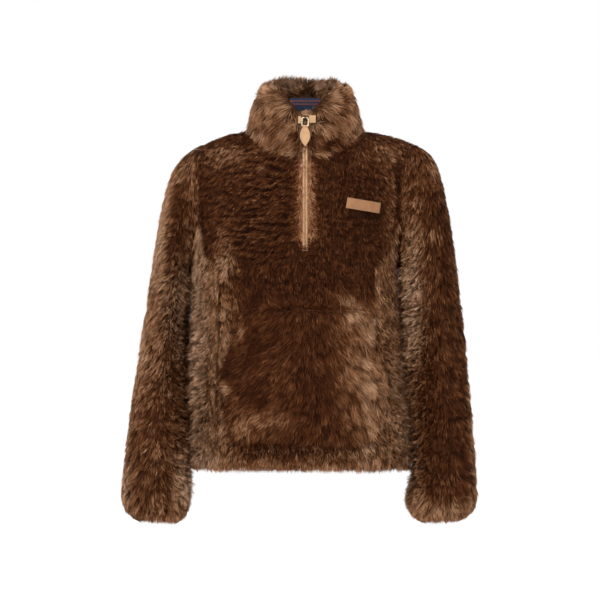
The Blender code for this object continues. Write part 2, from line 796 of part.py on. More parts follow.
def link(pivot, tilt, home):
    """The plain wire link: its upper bar is the pull's axle and its lower one holds the tab."""
    half_width, height = LINK_SIZE[0] / 2, LINK_SIZE[1]
    curve = bpy.data.curves.new("pull_link", "CURVE")
    curve.dimensions = "3D"
    curve.bevel_depth = WIRE * MM
    curve.bevel_resolution = 2
    corners = (
        (half_width - LINK_CORNER, -LINK_CORNER, 0),
        (-half_width + LINK_CORNER, -LINK_CORNER, 90),
        (-half_width + LINK_CORNER, -height + LINK_CORNER, 180),
        (half_width - LINK_CORNER, -height + LINK_CORNER, 270),
    )
    points = []
    for x, z, start in corners:
        for degrees in range(start, start + 91, 18):
            turn = math.radians(degrees)
            points.append((x + LINK_CORNER * math.cos(turn), z + LINK_CORNER * math.sin(turn)))
    spline = curve.splines.new("POLY")
    spline.points.add(len(points) - 1)
    for point, (x, z) in zip(spline.points, points):
        point.co = (x * MM, 0, z * MM, 1)
    spline.use_cyclic_u = True
    piece = bpy.data.objects.new("pull_link", curve)
    home.objects.link(piece)
    finish_hardware(piece, "zip_metal", pivot, tilt)


def tab(pivot, tilt, home, cutters):
    """The leaf-shaped leather tab, folded round the link's lower bar."""
    bar = -LINK_SIZE[1]
    start, end = TAB_OUTLINE[0][0], TAB_OUTLINE[-1][0]
    downs = [start + (end - start) * n / TAB_STEPS for n in range(TAB_STEPS + 1)]
    right_side = [(smooth(TAB_OUTLINE, 1, down), bar - down) for down in downs]
    outline = [(-x, z) for x, z in right_side] + right_side[::-1]
    shape = bmesh.new()
    corners = [shape.verts.new(Vector((x, -TAB_THICK / 2, z)) * MM) for x, z in outline]
    face = shape.faces.new(corners)
    grown = bmesh.ops.extrude_face_region(shape, geom=[face])
    moved = [v for v in grown["geom"] if isinstance(v, bmesh.types.BMVert)]
    bmesh.ops.translate(shape, vec=(0, TAB_THICK * MM, 0), verts=moved)
    bmesh.ops.recalc_face_normals(shape, faces=shape.faces)
    piece = from_bmesh("pull_tab", shape, home)
    shape_with(piece, round_bar("tab_loop", LOOP_RADIUS, LOOP_WIDTH, bar, cutters), "UNION")
    shape_with(piece, round_bar("tab_loop_hole", LOOP_HOLE, LOOP_WIDTH * 2, bar, cutters), "DIFFERENCE")
    finish_hardware(piece, "natural_leather", pivot, tilt)


def build():
    clear_scene()
    home = collection("shearling_anorak")
    cutters = collection("cutters")
    coat = Coat()
    front = body_grid(coat, "front")
    back = body_grid(coat, "back")
    sleeve_rings(coat, "sleeve_left", -1, LEFT_SLEEVE, front, back)
    sleeve_rings(coat, "sleeve_right", 1, RIGHT_SLEEVE, front, back)
    collar = collar_rows(coat, front, back)
    inner = coat.inner()
    collar_shift = Vector((0, 0, PANEL_GAP))
    panels = (
        ("front", (0, -SHOULDER_SEAM_GAP / 2, 0), "wool"),
        ("back", (0, SHOULDER_SEAM_GAP / 2, 0), "wool"),
        ("side_left", (-PANEL_GAP, 0, 0), "wool"),
        ("side_right", (PANEL_GAP, 0, 0), "wool"),
        ("sleeve_left", (-2 * PANEL_GAP, 0, 0), "wool"),
        ("sleeve_right", (2 * PANEL_GAP, 0, 0), "wool"),
        ("collar", collar_shift, "wool_collar"),
    )
    for name, shift, finish in panels:
        panel(coat, name, inner, Vector(shift), finish, home)
    pocket(home)
    chest_patch(home)
    neck_label(inner, collar, collar_shift, home)
    path = zip_path(coat, front, collar)
    zip_strips(path, home)
    zip_ends(home)
    pivot, slider_tilt, pull_tilt = pivot_frame(path)
    slider(pivot, slider_tilt, home, cutters)
    link(pivot, pull_tilt, home)
    tab(pivot, pull_tilt, home, cutters)


build()
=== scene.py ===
"""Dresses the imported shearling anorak: its skins, wool, half zip, leather and label.

The file is laid out as an add-on and run as a script. The tables are in millimetres
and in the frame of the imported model: +Z is up, -Y is the front and +X is to the right
in a front view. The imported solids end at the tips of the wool, so each skin is built
under them, and the wool grows from it back up to that surface.
"""

import json
import math

import bmesh
import bpy
import numpy as np
from bpy.props import FloatProperty, FloatVectorProperty, IntProperty, PointerProperty
from mathutils import Matrix, Vector
from mathutils.bvhtree import BVHTree
from mathutils.kdtree import KDTree

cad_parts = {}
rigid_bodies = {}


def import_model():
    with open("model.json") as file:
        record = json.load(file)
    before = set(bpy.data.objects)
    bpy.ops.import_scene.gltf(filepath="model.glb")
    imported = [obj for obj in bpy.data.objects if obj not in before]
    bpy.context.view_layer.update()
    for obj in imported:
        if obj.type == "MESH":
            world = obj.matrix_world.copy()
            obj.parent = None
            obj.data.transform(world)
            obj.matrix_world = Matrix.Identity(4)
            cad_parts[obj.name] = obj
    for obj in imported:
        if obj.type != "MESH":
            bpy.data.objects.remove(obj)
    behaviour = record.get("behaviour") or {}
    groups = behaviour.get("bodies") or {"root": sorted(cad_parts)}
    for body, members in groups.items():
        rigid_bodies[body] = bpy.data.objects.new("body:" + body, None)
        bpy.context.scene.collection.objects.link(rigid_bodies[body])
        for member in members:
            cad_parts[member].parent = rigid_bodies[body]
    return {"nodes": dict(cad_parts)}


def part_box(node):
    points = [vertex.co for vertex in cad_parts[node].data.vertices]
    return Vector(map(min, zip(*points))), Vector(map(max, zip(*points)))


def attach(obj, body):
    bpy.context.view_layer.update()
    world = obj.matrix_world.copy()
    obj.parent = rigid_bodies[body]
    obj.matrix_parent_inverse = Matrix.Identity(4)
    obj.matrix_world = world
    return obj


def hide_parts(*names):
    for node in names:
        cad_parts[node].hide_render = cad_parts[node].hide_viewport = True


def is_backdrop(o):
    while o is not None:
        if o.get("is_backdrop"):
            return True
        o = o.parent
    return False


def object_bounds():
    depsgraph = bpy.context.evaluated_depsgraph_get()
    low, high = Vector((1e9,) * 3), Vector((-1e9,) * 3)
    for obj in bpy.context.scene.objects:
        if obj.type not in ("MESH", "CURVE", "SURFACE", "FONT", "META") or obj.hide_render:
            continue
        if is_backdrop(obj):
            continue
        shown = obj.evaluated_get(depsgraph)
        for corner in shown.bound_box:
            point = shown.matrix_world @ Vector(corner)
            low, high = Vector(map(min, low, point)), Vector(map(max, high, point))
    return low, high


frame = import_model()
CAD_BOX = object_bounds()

bl_info = {
    "name": "Shearling Anorak",
    "version": (1, 0, 0),
    "blender": (4, 5, 0),
    "location": "View3D > Sidebar > Anorak",
    "description": "Builds the looks of a half-zip shearling anorak around its packed solids",
    "category": "Object",
}

MM = 0.001
COAT = "coat"
PULL = "pull"
PANELS = ("front", "back", "side_left", "side_right", "sleeve_left", "sleeve_right", "collar")
FACES = {"front": (1, -1), "back": (1, 1), "left": (0, -1), "right": (0, 1)}  # axis and sign

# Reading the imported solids
MERGE = 1e-5  # between a node's loose triangles
WELD = 1e-3  # between neighbouring panels at a seam
RIM_ANGLE = math.radians(48)  # a sharper edge bounds a wall's outer or inner side
FLAT_ANGLE = math.radians(40)  # two triangles under it are taken as one facet
SKEW_ANGLE = math.radians(60)  # and so much may the facet's corners be off square

# Skins
BED = 5.0  # the skin and the felted foot of the wool, together
COLLAR_SKIN = 3.0
POCKET_SKIN = 3.5
NECK_BLEND = 30.0  # from the neck seam up to where wool grows on both sides
SEAM_INSET = 0.3
EDGE_LIFT = 8.0  # how far the skin ends short of the wool's tips at the hem and cuffs
HEM_Z, CUFF_Z = -650.0, -747.0
LIFT_REACH = 50.0
RIM_DROP = 9.0  # and how far at the collar's rim
RIM_REACH = 45.0
SLOT_TOP = 28.0
SLOT_HALF = 6.0
SKIN_SHARP = math.radians(50)

# The flat cut of each skin: width, length and area
CUTS = {
    "front": (440, 660, 0.25),
    "back": (440, 690, 0.27),
    "side_left": (250, 480, 0.08),
    "side_right": (250, 480, 0.08),
    "sleeve_left": (430, 720, 0.24),
    "sleeve_right": (430, 730, 0.24),
    "collar": (540, 140, 0.055),
    "pocket": (318, 260, 0.075),
}

# Soft creases in the surface: face, start x and z, end x and z, depth, half width
CREASES = (
    ("front", -199, -150, -212, -238, 6, 13), ("front", 181, -105, 180, -250, 4, 11),
    ("front", -192, -262, -88, -212, 4, 15), ("front", 172, -266, 82, -228, 3, 16),
    ("front", -168, -300, -120, -292, 2.5, 12), ("front", -306, -335, -232, -366, 4, 12),
    ("front", -318, -428, -244, -402, 3, 13), ("front", -330, -545, -262, -520, 3, 15),
    ("front", 296, -322, 205, -352, 4, 12), ("front", 308, -446, 214, -474, 3, 14),
    ("front", 318, -570, 250, -548, 3, 15), ("front", -70, -640, -78, -560, 3, 22),
    ("front", 86, -640, 80, -590, 2.5, 20), ("back", -190, -120, -206, -236, 6, 15),
    ("back", 186, -120, 178, -236, 6, 15), ("back", -150, -118, -66, -204, 4, 18),
    ("back", 146, -128, 70, -214, 4, 18), ("back", -128, -424, 96, -452, 5, 20),
    ("back", -84, -540, 122, -516, 4, 20), ("back", -302, -338, -236, -360, 5, 13),
    ("back", -322, -452, -250, -430, 4, 14), ("back", 292, -330, 212, -356, 5, 13),
    ("back", 310, -462, 226, -440, 4, 14), ("back", 30, -640, 24, -556, 3, 24),
)

# Each panel's wool: length, stands proud, lightness, ripple, stray angle in degrees
WOOLS = {
    "front": (16, 0.0, 0.12, 0.15, 24),
    "back": (18, 0.0, 0.20, 0.35, 20),
    "side_left": (21, 0.0, 0.56, 0.0, 13),
    "side_right": (21, 0.0, 0.50, 0.0, 14),
    "sleeve_left": (19, 0.0, 0.40, 0.15, 15),
    "sleeve_right": (19, 0.0, 0.19, 0.1, 17),
    "collar": (27, 4.0, 0.66, 0.0, 20),
    "pocket": (21, 3.0, 0.14, 0.1, 19),
}
LOCKED, COLLAR_LOCKED = 0.25, 0.6  # how much of the wool hangs in long locks

# The tables of spots below give a panel, the face of it that a spot is on and, for each
# spot, its x, z, half width and half height, and then what it does to the wool there.

# How the wool is combed, over each panel's own lie: to the right and up
COMBS = (
    ("front", "front", (
        (-84, -140, 80, 110, -2.6, -0.2), (-136, -340, 26, 90, 1.1, -1.2),
        (-196, -180, 22, 70, -0.9, -0.8), (-150, -570, 26, 100, -1.6, -0.8),
        (160, -200, 34, 130, 1.6, -1.2), (120, -480, 90, 150, 1.5, -1.1),
        (0, -648, 400, 26, 0.1, -3.0), (-60, -300, 60, 40, 0.6, -0.7),
    )),
    ("back", "back", (
        (-110, -330, 80, 330, -0.8, -1.0), (110, -330, 80, 330, 0.8, -1.0),
        (0, -648, 400, 26, 0.0, -3.0),
    )),
    ("side_left", "all", (
        (-206, -400, 30, 170, -1.2, -0.9), (-180, -560, 20, 120, 0.8, -1.2),
        (-200, -648, 60, 26, 0.0, -3.0),
    )),
    ("side_right", "all", (
        (190, -440, 60, 300, 1.0, -1.0), (190, -648, 60, 26, 0.0, -3.0),
    )),
    ("sleeve_left", "all", (
        (-275, -150, 30, 160, -3.0, -0.5), (-300, -360, 40, 110, -1.6, -0.8),
        (-262, -330, 30, 110, -1.1, -0.9), (-208, -370, 24, 150, 1.4, -1.0),
        (-330, -560, 40, 110, -1.4, -0.8), (-235, -590, 34, 110, 0.9, -1.0),
        (-345, -725, 30, 40, -1.6, -1.0), (-225, -725, 30, 40, 1.4, -1.0),
    )),
    ("sleeve_right", "all", (
        (300, -260, 26, 210, 2.4, -0.9), (325, -560, 30, 160, 2.4, -0.6),
        (200, -290, 30, 190, -1.3, -1.1), (205, -560, 26, 120, -0.9, -1.0),
        (325, -728, 30, 40, 1.5, -1.0), (205, -728, 30, 40, -1.4, -1.0),
    )),
    ("pocket", "front", (
        (-90, -430, 70, 90, -2.0, -0.7), (-60, -545, 80, 50, -1.3, -0.8),
        (100, -450, 70, 120, 1.8, -1.1), (-150, -480, 22, 60, -2.2, 0.4),
        (0, -338, 130, 9, 0.3, 1.7),
    )),
)

# How much lighter it is
SHADES = (
    ("front", "front", (
        (-170, -50, 66, 24, 0.34), (158, -42, 60, 24, 0.36), (-78, -72, 10, 8, 0.3),
        # (36, -30) is a painted shadow on the chest under the collar's right front edge
        (36, -30, 44, 18, -0.24), (-150, -252, 20, 40, 0.5), (-158, -390, 24, 110, 0.52),
        (140, -520, 56, 120, 0.7), (150, -390, 26, 70, 0.36), (170, -300, 20, 130, 0.42),
        (150, -432, 12, 40, -0.3), (74, -318, 20, 12, 0.5), (100, -338, 24, 14, 0.55),
        # (0, -606) is painted light, lifting the shadow below the pocket's bottom edge
        (132, -366, 20, 20, 0.5), (0, -606, 150, 16, 0.34), (10, -644, 400, 24, 0.36),
        (-150, -540, 30, 90, 0.5), (-90, -130, 90, 110, 0.07), (-140, -40, 60, 12, 0.2),
        (-128, -520, 30, 50, 0.22), (-16, -130, 10, 110, -0.16), (28, -180, 16, 90, 0.08),
        (168, -110, 22, 60, 0.2), (-100, -200, 60, 20, 0.06),
    )),
    ("pocket", "front", (
        # (-20, -588) is painted light along the pocket's bottom edge, against the shade of its step
        (-20, -588, 150, 9, 0.12), (-96, -410, 34, 26, -0.22), (-92, -500, 36, 22, -0.14),
        (-112, -552, 36, 36, 0.28), (-46, -470, 30, 60, 0.08), (10, -520, 26, 40, -0.1),
        (-146, -492, 20, 12, 0.66), (-116, -392, 10, 34, 0.4), (-60, -548, 44, 22, 0.3),
        (122, -510, 50, 105, 0.6), (96, -404, 28, 44, 0.34), (92, -350, 30, 14, 0.56),
        (122, -378, 18, 18, 0.4), (51, -372, 8, 8, 0.44), (98, -408, 18, 14, -0.14),
        (60, -450, 16, 60, 0.16),
    )),
    ("back", "back", (
        (0, -636, 400, 26, 0.36), (-150, -52, 70, 30, 0.36), (150, -44, 70, 30, 0.36),
        (-150, -430, 34, 190, 0.36), (140, -480, 44, 170, 0.4), (30, -150, 60, 40, 0.1),
        (-50, -330, 30, 60, 0.14), (70, -560, 50, 40, 0.16),
    )),
    ("side_left", "all", (
        (-198, -430, 18, 240, 0.44), (-200, -636, 90, 24, 0.3),
    )),
    ("side_right", "all", ((190, -500, 40, 180, 0.2),)),
    ("sleeve_left", "all", (
        (-262, -110, 13, 44, 0.44), (-274, -180, 15, 50, 0.48), (-286, -250, 15, 50, 0.36),
        (-250, -62, 34, 24, 0.32), (-320, -380, 22, 120, 0.4), (-238, -160, 12, 90, -0.22),
        (-268, -320, 18, 80, 0.26), (-236, -340, 18, 110, 0.34), (-292, -560, 30, 60, -0.06),
        (-340, -560, 12, 120, 0.22), (-230, -650, 18, 50, 0.3), (-284, -724, 80, 26, 0.1),
        (-232, -680, 22, 44, 0.42), (-344, -690, 14, 50, 0.34), (-290, -430, 40, 60, 0.1),
    )),
    ("sleeve_right", "all", (
        (250, -60, 40, 34, 0.28), (300, -220, 14, 160, 0.42), (322, -520, 16, 210, 0.56),
        (204, -330, 26, 180, 0.74), (245, -194, 13, 9, 0.5), (206, -640, 22, 90, 0.36),
        (262, -726, 80, 34, 0.5),
    )),
    ("collar", "front", (
        (-64, 30, 26, 20, -0.18), (52, 22, 22, 18, -0.22), (66, 62, 20, 14, -0.14),
        # (46, -22) is a painted shadow under the collar's right front edge
        (46, -22, 26, 14, -0.8), (-40, -22, 44, 14, -0.34),
    )),
    ("collar", "all", ((0, 92, 200, 20, 0.3),)),
    ("collar", "back", ((0, 40, 70, 40, -0.1),)),
)

# To what share of its length it is clipped or grown
LENGTHS = (
    ("front", "front", (
        (110, -150, 80, 120, 0.78), (-110, -140, 80, 100, 0.85), (130, -500, 80, 140, 1.45),
        (168, -300, 30, 140, 1.35), (0, -326, 122, 14, 2.2), (112, -318, 22, 20, 1.3),
        (0, -234, 15, 15, 1.5),
    )),
    ("front", "all", (
        (0, -648, 400, 20, 1.05), (-212, -44, 34, 34, 0.55), (204, -44, 34, 34, 0.55),
    )),
    ("back", "all", (
        (0, -648, 400, 20, 0.95), (-212, -44, 34, 34, 0.55), (204, -44, 34, 34, 0.55),
    )),
    ("side_left", "all", ((-200, -648, 100, 20, 0.8),)),
    ("side_right", "all", ((190, -648, 100, 20, 0.8),)),
    ("pocket", "front", (
        (110, -480, 70, 120, 1.3), (0, -586, 150, 16, 1.25),
    )),
    ("sleeve_left", "all", ((-280, -170, 24, 120, 0.8),)),
    ("collar", "all", (
        (0, 98, 200, 16, 0.75), (-84, 90, 20, 24, 0.45), (78, 90, 20, 24, 0.45),
    )),
    ("collar", "back", (
        (-66, 98, 14, 18, 1.2), (62, 98, 14, 18, 1.2),
    )),
    ("collar", "all", ((8, 96, 26, 16, 0.75),)),
    ("collar", "front", (
        (0, -20, 200, 24, 1.1), (50, -26, 22, 14, 0.5),
    )),
)

# How strongly it stands in level ripples
RIPPLES = (
    ("front", "front", (
        (-90, -130, 90, 120, 1.0), (110, -150, 60, 100, 0.25),
    )),
    ("back", "back", ((0, -180, 140, 120, 0.3),)),
    ("sleeve_right", "all", ((320, -500, 26, 220, 0.5),)),
)

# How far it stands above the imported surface
PROUD = (
    ("sleeve_left", "right", ((-215, -480, 60, 300, 21.0),)),
    ("sleeve_right", "left", ((190, -480, 60, 300, 21.0),)),
    ("side_left", "left", ((-208, -490, 60, 300, 19.0),)),
    ("side_right", "right", ((190, -490, 60, 300, 19.0),)),
    ("front", "front", (
        (0, -328, 125, 14, 9.0), (100, -330, 34, 16, 4.0), (0, -606, 150, 14, 9.0),
    )),
    ("pocket", "front", ((96, -344, 40, 10, 4.0),)),
)
CALM_OVER = 10.0  # wool that stands further out than this is left ungathered

# How many times as thick it grows
THICKNESS = (
    ("front", "all", ((0, -648, 400, 16, 2.8),)),
    ("front", "front", (
        (0, -328, 125, 14, 2.4), (-160, -440, 8, 220, 2.8),
    )),
    ("back", "all", ((0, -648, 400, 16, 2.6),)),
    ("side_left", "all", ((-200, -648, 100, 16, 2.6),)),
    ("side_left", "left", ((-208, -490, 60, 300, 2.6),)),
    ("side_left", "all", ((-168, -440, 8, 220, 2.8),)),
    ("side_right", "all", ((190, -648, 100, 16, 2.6),)),
    ("side_right", "right", ((190, -490, 60, 300, 2.6),)),
    ("sleeve_left", "right", ((-215, -480, 60, 300, 2.6),)),
    ("sleeve_left", "all", ((-284, -744, 100, 14, 2.0),)),
    ("sleeve_right", "left", ((190, -480, 60, 300, 2.6),)),
    ("sleeve_right", "all", ((260, -744, 100, 14, 2.0),)),
    ("collar", "all", ((0, 98, 200, 14, 2.0),)),
    ("pocket", "front", ((0, -342, 130, 14, 2.6),)),
)

# How strongly it hangs in long locks
LOCKS = (
    ("front", "front", (
        (-90, -120, 90, 110, -0.3), (110, -150, 80, 110, -0.3), (130, -500, 80, 150, 0.5),
    )),
    ("pocket", "front", (
        (110, -480, 60, 130, 0.5), (-150, -470, 30, 60, 0.5),
    )),
    ("sleeve_right", "all", ((325, -450, 40, 280, 0.6),)),
    ("sleeve_left", "all", ((-290, -700, 80, 60, 0.3),)),
    ("side_left", "all", ((-200, -420, 60, 240, 0.3),)),
)

# Where the wool parts over a seam or fold and shows dark, partly the dark bed and partly painted
# shade on the strands:
# panel, x and z of both ends, half width and strength, and what a full parting takes off the wool
PARTS = (
    ("front", -130, -592, 10, -591, 2.5, 0.45), ("front", -166, -486, -136, -597, 4, 0.8),
    ("front", 176, -60, 178, -300, 5, 0.8), ("sleeve_right", 180, -60, 180, -300, 5, 0.8),
    ("front", -196, -168, -206, -236, 5, 0.8), ("sleeve_left", -230, -340, -232, -486, 4, 0.7),
)
PART_THINS, PART_FLATTENS, PART_SHORTENS, PART_SHADE = 0.75, 0.5, 0.3, 0.3

# What lies on the wool and keeps it down: the patch and the zip's tab
PATCH_AT, PATCH_HALF, PATCH_TURN = (109, -149), (31.5, 10), math.radians(-9)
PATCH_MARGIN, PATCH_FLATTENS, PATCH_SHORTENS = 8.0, 0.35, 0.5
TAB_HALF, TAB_Z, TAB_FLATTENS = 14, (-42, 24), 0.3

# Beside the zip, where the wool is painted with a glow, as if lit through to its roots
ZIP_REACH = 9.0  # how far from the slot the wool parts
ZIP_LIP = 3.6  # and how much of it leans over the facings
ZIP_BOTTOM_Z, ZIP_TOP_Z = -208.0, 24.0
ZIP_END_Z = -246.0  # below it the wool is combed as elsewhere
ZIP_LEAN, ZIP_LIP_LEAN, ZIP_END_LEAN = 3.0, 5.6, 2.6  # away from the slot, and back over it
ZIP_LENGTH, ZIP_RISE = 0.68, 0.85  # shares of the wool elsewhere
# how much lighter the painted glow makes the wool, and how much painted shade darkens it above the
# glow, around the tab and under the collar
ZIP_LIGHTER, ZIP_TOP_SHADE = 0.54, 0.16  # in the glow, and above it
ZIP_GLOW, ZIP_THICKER = 0.85, 1.3
ZIP_STRAY, ZIP_LIP_STRAY = 0.8, 0.6
GLOW_TOP_Z = -48.0
PALE_X, PALE_Y, PALE_Z = (7, 15), (-60, -40), (-214, -206)  # the bed's pale strip fades here

# The pocket's outline, as z, left and right, and how its edges are sewn down
POCKET_EDGES = ((-590, -140, 136), (-484, -158, 152), (-335, -108, 108))
POCKET_MARGIN = 16.0
POCKET_SEWN, POCKET_SINK = 22.0, 11.0

# Inside of the collar
INSIDE_LENGTH = 22.0
# the inside wool is painted lighter up towards the rim, where light reaches in
INSIDE_TONE, INSIDE_RIM_LIGHT = 0.56, 0.45
INSIDE_PARTING = 7.0
LABEL_HALF, LABEL_Z = 30.0, (22, 62)

# Strands
FINER = {"collar": 1.7, "pocket": 1.15}  # how many times more of them, each as much narrower
TIP_V = 0.85  # the strands' map holds their length up to here, and above it the zip's glow
MAX_PIECE_TRIANGLES = 192000
SEED, SEED_STEP, POCKET_SEED, INSIDE_SEED = 3, 7, 91, 50  # the first, to the next, and added

# Trims
FACING_EDGE_DARKNESS = (0.36, 0.27, 0.22)  # the zip's facings darken to this share at their outer edges
FACING_DARK_FROM, FACING_DARK_TO = 3.0, 5.2  # from the middle of the zip
FACING_SEAM = 3.3  # from the middle of the zip to the stitches on its facings
CHAIN_ENDS, CHAIN_STEPS = 1.5, 42
TEETH, TEETH_STAGGER = ((2.6, 1.15, 1.5), 0.28), 1.15  # size across, along and out, and bevel
STITCH = ((0.55, 2.3, 0.5), 0.2)
TAB_STITCH, TAB_STITCH_PITCH = ((0.5, 1.7, 0.4), 0.15), 2.4
TAB_STITCHES = (
    (-3.4, -2.5), (-3.6, -10.5), (-2.2, -14.0), (0, -15.4), (2.2, -14.0), (3.6, -10.5), (3.4, -2.5),
)
PATCH_STITCH, PATCH_SEAM = ((0.4, 1.7, 0.4), 0.15), 2.2  # and how far the seam is from the edge
PATCH_SEAM_STEPS = 9
TRIM_SHARP, BEVEL_OVER = math.radians(40), math.radians(35)
LABEL_BANDS, BAND_HALF, BAND_FADE = (52.5, 46.5), 1.1, 0.3  # heights, and half their width

# Stage, in metres
LIGHTS = (  # name, where it stands, width, height, power in watts
    ("key", (-2.4, -4.4, 3.0), 2.2, 2.2, 170),
    ("fill", (3.2, -4.4, 1.0), 2.6, 2.6, 60),
    ("top", (0.0, -0.6, 3.6), 3.0, 2.4, 60),
    ("back_left", (-3.0, 3.6, 1.6), 2.4, 2.4, 40),
    ("back_right", (3.0, 3.6, 1.6), 2.4, 2.4, 40),
)
AIM = (0.0, 0.0, -0.34)
VIEW_CENTRE = (-0.0095, 0.0, -0.327)
SKY_SEEN, SKY_LIGHT = 1.0, 0.42
FLOOR_GLOW = 0.7
FLOOR_HALF = 60


class AnorakWool(bpy.types.PropertyGroup):
    """How the long wool grows."""

    density: FloatProperty(
        name="Density", description="Strands on a square metre", default=276000, min=100
    )
    rows: IntProperty(
        name="Segments", description="Lengths that a strand bends between", default=2, min=2, max=6
    )
    width: FloatProperty(
        name="Strand width", description="Widest part of a strand", default=0.00142, unit="LENGTH"
    )
    wisp: FloatProperty(
        name="Wisp size", description="Distance between wisps", default=0.0052, unit="LENGTH"
    )
    tuft: FloatProperty(
        name="Tuft size", description="Distance between tufts", default=0.0105, unit="LENGTH"
    )
    lock: FloatProperty(
        name="Lock size", description="Distance between long locks", default=0.026, unit="LENGTH"
    )
    pull: FloatProperty(
        name="Tuft pull", description="How far the tips gather to a tuft's middle", default=0.38,
        subtype="FACTOR",
    )
    ripple: FloatProperty(
        name="Ripple pitch", description="Height of the level ripples on the chest",
        default=0.0128, unit="LENGTH",
    )
    wave: FloatProperty(
        name="Wave", description="How far the tips stray", default=0.0045, unit="LENGTH"
    )
    dark: FloatVectorProperty(
        name="Dark wool", description="Tips of the darkest wool", default=(0.074, 0.0185, 0.0048),
        subtype="COLOR",
    )
    brown: FloatVectorProperty(
        name="Brown wool", description="Tips of the red-brown wool", default=(0.235, 0.078, 0.025),
        subtype="COLOR",
    )
    taupe: FloatVectorProperty(
        name="Taupe wool", description="Tips of the light wool", default=(0.62, 0.315, 0.158),
        subtype="COLOR",
    )
    # painted glow of the wool beside the zip
    painted_glow: FloatVectorProperty(
        name="Warm wool", description="Wool beside the zip, lit through to its roots",
        default=(0.66, 0.33, 0.17), subtype="COLOR",
    )
    pale: FloatVectorProperty(
        name="Pale wool", description="Tips of the palest locks", default=(0.86, 0.53, 0.33),
        subtype="COLOR",
    )


class AnorakTrim(bpy.types.PropertyGroup):
    """The leather, the zip and the label."""

    leather: FloatVectorProperty(
        name="Leather", description="Natural leather", default=(0.64, 0.36, 0.18), subtype="COLOR"
    )
    patch: FloatVectorProperty(
        name="Patch", description="Leather of the chest patch", default=(0.40, 0.180, 0.072),
        subtype="COLOR",
    )
    suede: FloatVectorProperty(
        name="Suede", description="Inner side of the skins", default=(0.105, 0.058, 0.034),
        subtype="COLOR",
    )
    metal: FloatVectorProperty(
        name="Metal", description="Aged metal of the slider", default=(0.075, 0.048, 0.026),
        subtype="COLOR",
    )
    link: FloatVectorProperty(
        name="Link", description="Bright metal of the link", default=(0.93, 0.78, 0.55),
        subtype="COLOR",
    )
    label: FloatVectorProperty(
        name="Label", description="Ground of the woven label", default=(0.013, 0.028, 0.075),
        subtype="COLOR",
    )
    pitch: FloatProperty(
        name="Tooth pitch", description="Distance between zip teeth", default=0.0021, unit="LENGTH"
    )
    stitch: FloatProperty(
        name="Stitch pitch", description="Distance between stitches", default=0.0036, unit="LENGTH"
    )


class AnorakStage(bpy.types.PropertyGroup):
    """The camera and the floor."""

    lens: FloatProperty(name="Lens", description="Focal length in millimetres", default=400, min=20)
    width: FloatProperty(
        name="View width", description="Width of the view at the garment", default=1.14,
        unit="LENGTH",
    )
    floor: FloatProperty(
        name="Floor", description="Height of the floor", default=-1.02, unit="LENGTH"
    )


def is_vector(value):
    if isinstance(value, Value):
        return value.socket.type in {"VECTOR", "RGBA"}
    return isinstance(value, tuple)


class Value:
    """A node's output, which stands in sums as a number or a vector does."""

    def __init__(self, nodes, socket):
        self.nodes, self.socket = nodes, socket

    def combine(self, operation, a, b):
        """A sum of numbers or of vectors, or a vector scaled by a number."""
        if operation == "MULTIPLY" and is_vector(a) and not is_vector(b):
            inputs = {"Vector": a, "Scale": b}
            return self.nodes.get("ShaderNodeVectorMath", inputs, operation="SCALE")
        make = self.nodes.vector if is_vector(a) else self.nodes.math
        return make(operation, a, b)

    def __add__(self, other):
        return self.combine("ADD", self, other)

    def __sub__(self, other):
        return self.combine("SUBTRACT", self, other)

    def __rsub__(self, other):
        return self.combine("SUBTRACT", other, self)

    def __mul__(self, other):
        return self.combine("MULTIPLY", self, other)

    def __rmul__(self, other):
        return self.combine("MULTIPLY", other, self)

    def __truediv__(self, other):
        return self.combine("DIVIDE", self, other)

    def __rtruediv__(self, other):
        return self.combine("DIVIDE", other, self)


